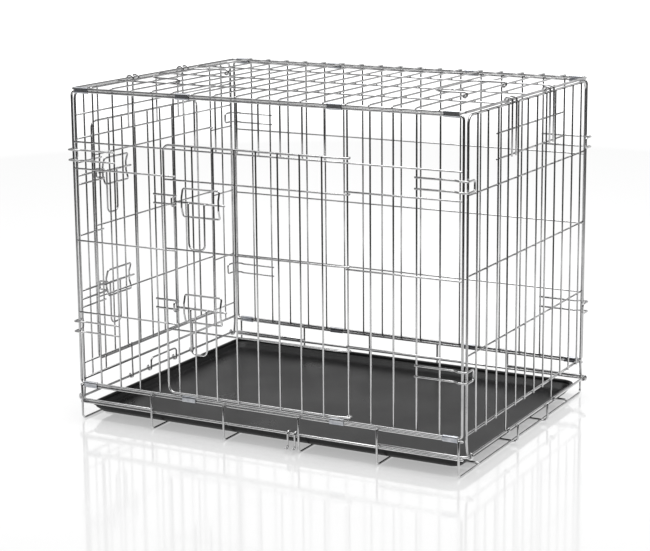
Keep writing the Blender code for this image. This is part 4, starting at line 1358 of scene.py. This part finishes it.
@dataclass
class HingeClips:
    """Sheet-metal clips folded round the stacked wires of two panels."""

    bays: tuple[int, ...] = (0, 5, 12, 17)
    length: float = 0.0280
    sheet: float = 0.0009
    waist: float = 0.0005
    arc_steps: int = 10
    stations: tuple[float, ...] = (0.5, 0.47, 0.4, 0.2, 0.0, -0.2, -0.4, -0.47, -0.5)
    seam_pull: float = 0.16
    seam_points: float = 2.0
    rolled_share: float = 0.9
    edge: float = 0.0002
    edge_steps: int = 2

    def outline(self) -> list[tuple[float, float]]:
        """Work out the sheet's path round both wires.

        Returns:
            Its points as (out, up), from the seam on the inside.
        """
        radius = FRAME_WIRE + WELD_GAP + self.sheet / 2
        half = STACK / 2
        path = [(-radius + self.waist, 0.0)]
        for centre, start in ((-half, math.pi), (half, 0.0)):
            for step in range(self.arc_steps + 1):
                angle = start + math.pi * step / self.arc_steps
                path.append((radius * math.cos(angle), centre + radius * math.sin(angle)))
            path.append(((radius - self.waist) if centre < 0 else (-radius + self.waist), 0.0))
        return path

    def sheet_mesh(self, name: str, middle: Vector, side: int, finish: bpy.types.Material) -> bpy.types.Mesh:
        """Make a clip's sheet without its thickness, with rounded corners at its seam.

        Args:
            name: The mesh's name.
            middle: The clip's middle.
            side: -1 at the front and 1 at the back.
            finish: The sheet's material.

        Returns:
            The sheet.
        """
        path = self.outline()
        sheet = bmesh.new()
        rows = []
        for share in self.stations:
            row = []
            for index, (out, up) in enumerate(path):
                from_seam = min(index, len(path) - 1 - index)
                pulled = share * (1.0 - self.seam_pull * max(0.0, 1.0 - from_seam / self.seam_points))
                row.append(sheet.verts.new(middle + Vector((pulled * self.length, side * out, up))))
            rows.append(row)
        bridge(sheet, rows, closed=False)
        return smooth_mesh(sheet, name, finish)

    def thicken(self, drawn: bpy.types.Object) -> None:
        """Give a sheet its thickness and its broken edges.

        Args:
            drawn: The sheet.
        """
        wall = drawn.modifiers.new("sheet", "SOLIDIFY")
        wall.thickness = self.sheet * self.rolled_share
        wall.offset = 0.0
        edge = drawn.modifiers.new("edge", "BEVEL")
        edge.width = self.edge
        edge.segments = self.edge_steps
        edge.limit_method = "ANGLE"

    def build(self, finish: bpy.types.Material) -> None:
        """Make each clip as a rolled sheet.

        Args:
            finish: The sheet's material.
        """
        for side, side_name in ((-1, "front"), (1, "back")):
            for z, level in ((PANEL_Z, "bottom"), (TOP_Z, "top")):
                for number, bay in enumerate(self.bays, 1):
                    node = f"{level}_{side_name}_clip_{number}"
                    middle = Vector((line_x(bay) + BAY / 2, side * HALF_DEPTH, z - STACK / 2)) + ORIGIN
                    sheet = self.sheet_mesh(node + "_sheet", middle, side, finish)
                    drawn = add_object(node + "_sheet", sheet)
                    self.thicken(drawn)
                    place_piece(node, drawn, (node,), CLIP_SHEET.slot)


@dataclass
class Tray:
    """The plastic pan with sloping walls, a step below the rim and a rolled lip."""

    wall: float = 0.0018
    floor_inset: tuple[float, float] = (0.0168, 0.0248)
    wall_inset: tuple[float, float] = (0.0108, 0.0108)
    lip_inset: tuple[float, float] = (0.0058, 0.0048)
    corner: float = 0.0180
    least_corner: float = 0.0072
    rim_clearance: float = 0.0011
    corner_steps: int = 12
    floor_margin: float = 0.0260
    fillet: float = 0.0120
    fillet_rise: float = 0.0030
    fillet_steps: int = 5
    slope: tuple[float, float] = (0.35, 0.58)
    slope_rise: float = 0.6
    slope_hollow: float = 0.0004
    ledge: tuple[float, float] = (0.72, 0.84)
    ledge_height: float = 0.66
    ledge_rise: float = 0.0004
    ledge_under: float = 0.9
    rim_roll: tuple[tuple[float, float], ...] = ((-0.0012, -0.0016), (-0.0002, -0.0003), (0.0010, 0.0))
    lip_flat: float = 0.0012
    lip_round: float = 0.0003
    rim_under: tuple[tuple[float, float], ...] = ((0.0016, 0.0), (0.0006, -0.0008))
    foot_flare: tuple[float, float] = (0.0006, 0.0010)
    foot_roll: tuple[tuple[float, float], ...] = ((-0.0006, 0.0007), (-0.0030, 0.0))
    foot_height: float = 0.0022
    sharp_degrees: float = 50

    def section(self) -> list[tuple[float, float, float]]:
        """Return the pan's closed section as rings.

        Returns:
            For each ring its half length, half depth and height, from the inner floor over the lip to
            the outer floor.
        """
        low = FLOOR_RAIL_Z + FRAME_WIRE + WELD_GAP
        rim = END_WIRE_Z - (END_WIRE_X - END_PLANE) - FRAME_WIRE - self.rim_clearance
        inside = low + self.wall
        rise = rim - inside
        insets = (self.floor_inset, self.wall_inset, self.lip_inset)
        floor, wall, lip = [(HALF_LENGTH - x, HALF_DEPTH - y) for x, y in insets]

        def ring(base: tuple[float, float], out: float, z: float) -> tuple[float, float, float]:
            """Return a ring that lies so far outside a base rectangle."""
            return base[0] + out, base[1] + out, z

        def sloped(share: float) -> tuple[float, float]:
            """Return the rectangle at a share of the way from the floor's edge to the wall's top."""
            return tuple(start + (end - start) * share for start, end in zip(floor, wall))

        rings = [ring(floor, -self.floor_margin, inside)]
        for share in (step / self.fillet_steps for step in range(1, self.fillet_steps + 1)):
            rings.append(ring(floor, -self.fillet * (1 - share), inside + self.fillet_rise * share * share))
        for share in self.slope:
            up = self.fillet_rise + (self.slope_rise * rise - self.fillet_rise) * share / self.slope[-1]
            rings.append(ring(sloped(share), -self.slope_hollow, inside + up))
        ledge = inside + rise * self.ledge_height
        rings.append(ring(sloped(self.ledge[0]), 0.0, ledge))
        rings.append(ring(sloped(self.ledge[1]), 0.0, ledge + self.ledge_rise))
        rings += [ring(wall, out, rim + up) for out, up in self.rim_roll]
        outs = (-self.lip_flat, -self.lip_round, 0.0, -self.lip_round, -self.lip_flat)
        falls = (0.0, self.lip_round, self.wall / 2, self.wall - self.lip_round, self.wall)
        rings += [ring(lip, out, rim - fall) for out, fall in zip(outs, falls)]
        rings += [ring(wall, out, rim - self.wall + up) for out, up in self.rim_under]
        rings.append(ring(sloped(self.ledge[1]), self.wall, ledge - self.wall * self.ledge_under))
        rings.append((floor[0] + self.foot_flare[0], floor[1] + self.foot_flare[1], low + self.foot_height))
        rings += [ring(floor, out, low + up) for out, up in self.foot_roll]
        return rings

    def outline(self, half_x: float, half_y: float) -> list[tuple[float, float]]:
        """Return a ring's outline with round corners, which grow with its size.

        Args:
            half_x: Half of the ring's length.
            half_y: Half of its depth.

        Returns:
            Its points.
        """
        grown = half_x - (HALF_LENGTH - self.floor_inset[0])
        radius = max(self.corner + grown, self.least_corner)
        line = []
        for turn, (sx, sy) in enumerate(((1, 1), (-1, 1), (-1, -1), (1, -1))):
            for step in range(self.corner_steps + 1):
                angle = math.pi / 2 * (turn + step / self.corner_steps)
                x = sx * (half_x - radius) + radius * math.cos(angle)
                line.append((x, sy * (half_y - radius) + radius * math.sin(angle)))
        return line

    def build(self, finish: bpy.types.Material) -> None:
        """Make the tray.

        Args:
            finish: The plastic's material.
        """
        pan = bmesh.new()
        rows = []
        for half_x, half_y, z in self.section():
            rows.append([pan.verts.new(Vector((x, y, z)) + ORIGIN) for x, y in self.outline(half_x, half_y)])
        bridge(pan, rows, closed=True)
        pan.faces.new(rows[0])
        pan.faces.new(rows[-1][::-1])
        mesh = smooth_mesh(pan, "tray_pan", finish)
        mesh.set_sharp_from_angle(angle=math.radians(self.sharp_degrees))
        place_piece("tray", add_object("tray_pan", mesh), ("tray",), TRAY_PLASTIC.slot)


@dataclass
class Studio:
    """White floor, soft light and the camera.

    A ramp holds the range of a value that it looks at, and then what this range is mapped to.
    """

    camera_place: tuple[float, float, float] = (1.5963, -2.9408, 1.0100)
    yaw: float = -0.4732
    pitch: float = -0.1943
    roll: float = -0.0033
    focal_pixels: float = 1820.6
    shift_pixels: tuple[float, float] = (-50.0, -50.0)
    image_width: float = 650.0
    sensor: float = 36.0
    floor_half: float = 12.0
    lamp_power: float = 62.0
    lamp_size: float = 2.6
    lamp_place: tuple[float, float, float] = (0.2, 0.1, 2.9)
    facing_ramp: tuple[float, ...] = (0.15, 0.65, 0.05, 1.0)
    wall_ramp: tuple[float, ...] = (0.30, 0.50, 1.0, 0.12)
    ceiling_ramp: tuple[float, ...] = (0.60, 0.85, 0.0, 1.8)
    plain_strength: float = 0.55
    sheet_shift: float = 1.2
    sheet_edge: tuple[float, float] = (2.2, 3.2)
    floor_tone: float = 0.62
    # Painted shade: the far floor's nearly black colour, which the metal reflects as a dark room
    far_painted_shade_tone: float = 0.03
    floor_rough: float = 0.08
    floor_shine: float = 2.6
    # Painted light: how strongly the floor glows near the crate, to the camera and in reflections
    floor_glow: float = 0.40

    def __post_init__(self) -> None:
        """Work out the level direction in which the camera looks."""
        self.ahead = Vector((math.sin(self.yaw), math.cos(self.yaw), 0.0))

    def camera(self) -> None:
        """Set the camera at the photograph's angle."""
        level = math.cos(self.pitch)
        forward = Vector((math.sin(self.yaw) * level, math.cos(self.yaw) * level, math.sin(self.pitch)))
        right = forward.cross(Z_AXIS).normalized()
        up = right.cross(forward)
        turned = right * math.cos(self.roll) + up * math.sin(self.roll)
        risen = up * math.cos(self.roll) - right * math.sin(self.roll)
        lens = bpy.data.cameras.new("camera")
        lens.sensor_width = self.sensor
        lens.lens = self.focal_pixels / self.image_width * self.sensor
        lens.shift_x = self.shift_pixels[0] / self.image_width
        lens.shift_y = self.shift_pixels[1] / self.image_width
        eye = add_object("camera", lens)
        axes = Matrix((turned, risen, -forward)).transposed().to_4x4()
        eye.matrix_world = Matrix.Translation(Vector(self.camera_place)) @ axes
        bpy.context.scene.camera = eye

    def light(self) -> None:
        """Hang a large soft lamp over the crate."""
        lamp = bpy.data.lights.new("softbox", "AREA")
        lamp.shape = "SQUARE"
        lamp.size = self.lamp_size
        lamp.energy = self.lamp_power
        add_object("softbox", lamp).location = self.lamp_place

    def world(self) -> None:
        """Make the room: white behind the crate and above it, darker on the photographer's side."""
        world = bpy.data.worlds.new("room")
        world.use_nodes = True
        bpy.context.scene.world = world
        tree = Tree(world.node_tree)
        world.node_tree.nodes.clear()
        look = tree.add("ShaderNodeTexCoord").outputs["Generated"]
        facing = tree.add("ShaderNodeVectorMath", {0: look, 1: self.ahead}, operation="DOT_PRODUCT")
        height = tree.add("ShaderNodeSeparateXYZ", {0: look}).outputs["Z"]
        room = tree.ramp(facing.outputs["Value"], *self.facing_ramp)
        wall = tree.calculate("MULTIPLY", room, tree.ramp(height, *self.wall_ramp))
        seen = tree.calculate("MAXIMUM", wall, tree.ramp(height, *self.ceiling_ramp))
        path = tree.add("ShaderNodeLightPath").outputs
        plain = tree.pick(path["Is Glossy Ray"], self.plain_strength, seen)
        shown = tree.pick(path["Is Camera Ray"], plain, 1.0)
        back = tree.add("ShaderNodeBackground", {"Strength": shown})
        tree.add("ShaderNodeOutputWorld", {"Surface": back.outputs[0]})

    def floor(self) -> None:
        """Lay a glossy floor that keeps the crate's shadow and mirror image and looks white to the camera.
        Near the crate it glows as painted light, which pales the shadow and shows in reflections; far away
        its colour falls to a painted shade that the metal reflects.
        """
        mesh = bpy.data.meshes.new("floor")
        half = self.floor_half
        corners = [(-half, -half, 0), (half, -half, 0), (half, half, 0), (-half, half, 0)]
        mesh.from_pydata(corners, [], [(0, 1, 2, 3)])
        floor = add_object("floor", mesh)
        made = bpy.data.materials.new("white_floor")
        made.use_nodes = True
        tree = Tree(made.node_tree)
        place = tree.add("ShaderNodeTexCoord").outputs["Object"]
        centre = self.ahead * self.sheet_shift
        away = tree.add("ShaderNodeVectorMath", {0: place, 1: centre}, operation="DISTANCE")
        sweep = tree.ramp(away.outputs["Value"], *self.sheet_edge)
        path = tree.add("ShaderNodeLightPath").outputs
        # Painted light: near the crate the floor glows in reflections too, fading to nothing far away
        painted_glow_in_reflections = tree.ramp(sweep, start=self.floor_glow, end=0.0)
        unseen = tree.pick(path["Is Glossy Ray"], 0.0, painted_glow_in_reflections)
        # Painted shade: far away the floor's colour falls to nearly black, and there the camera sees only the
        # glow
        tree.fill(made.node_tree.nodes["Principled BSDF"], {
            "Base Color": tree.ramp(sweep, start=self.floor_tone, end=self.far_painted_shade_tone),
            "Roughness": self.floor_rough,
            "IOR": self.floor_shine,
            "Emission Color": (1.0, 1.0, 1.0, 1.0),
            "Emission Strength": tree.pick(
                path["Is Camera Ray"], unseen, tree.ramp(sweep, start=self.floor_glow))})
        mesh.materials.append(made)

    def build(self) -> None:
        """Set up floor, light, room and camera."""
        self.camera()
        self.light()
        self.world()
        self.floor()
        bpy.context.scene.view_settings.view_transform = "Standard"


def main() -> None:
    """Build the crate's pieces and the studio."""
    logging.basicConfig(level=logging.INFO, format="%(name)s %(message)s")
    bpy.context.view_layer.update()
    Studio().build()
    marks = SurfaceMarks()
    shop = WireShop(ZINC_WIRE.material(marks))
    doors = Doors()
    BaseFrame().build(shop)
    SidePanels().build(shop, doors.side_latches())
    Roof().build(shop)
    EndPanels().build(shop, doors.end_latches())
    doors.build(shop)
    Fittings().build(shop)
    HingeClips().build(CLIP_SHEET.material(marks))
    Tray().build(TRAY_PLASTIC.material(marks))


if __name__ == "__main__":
    main()
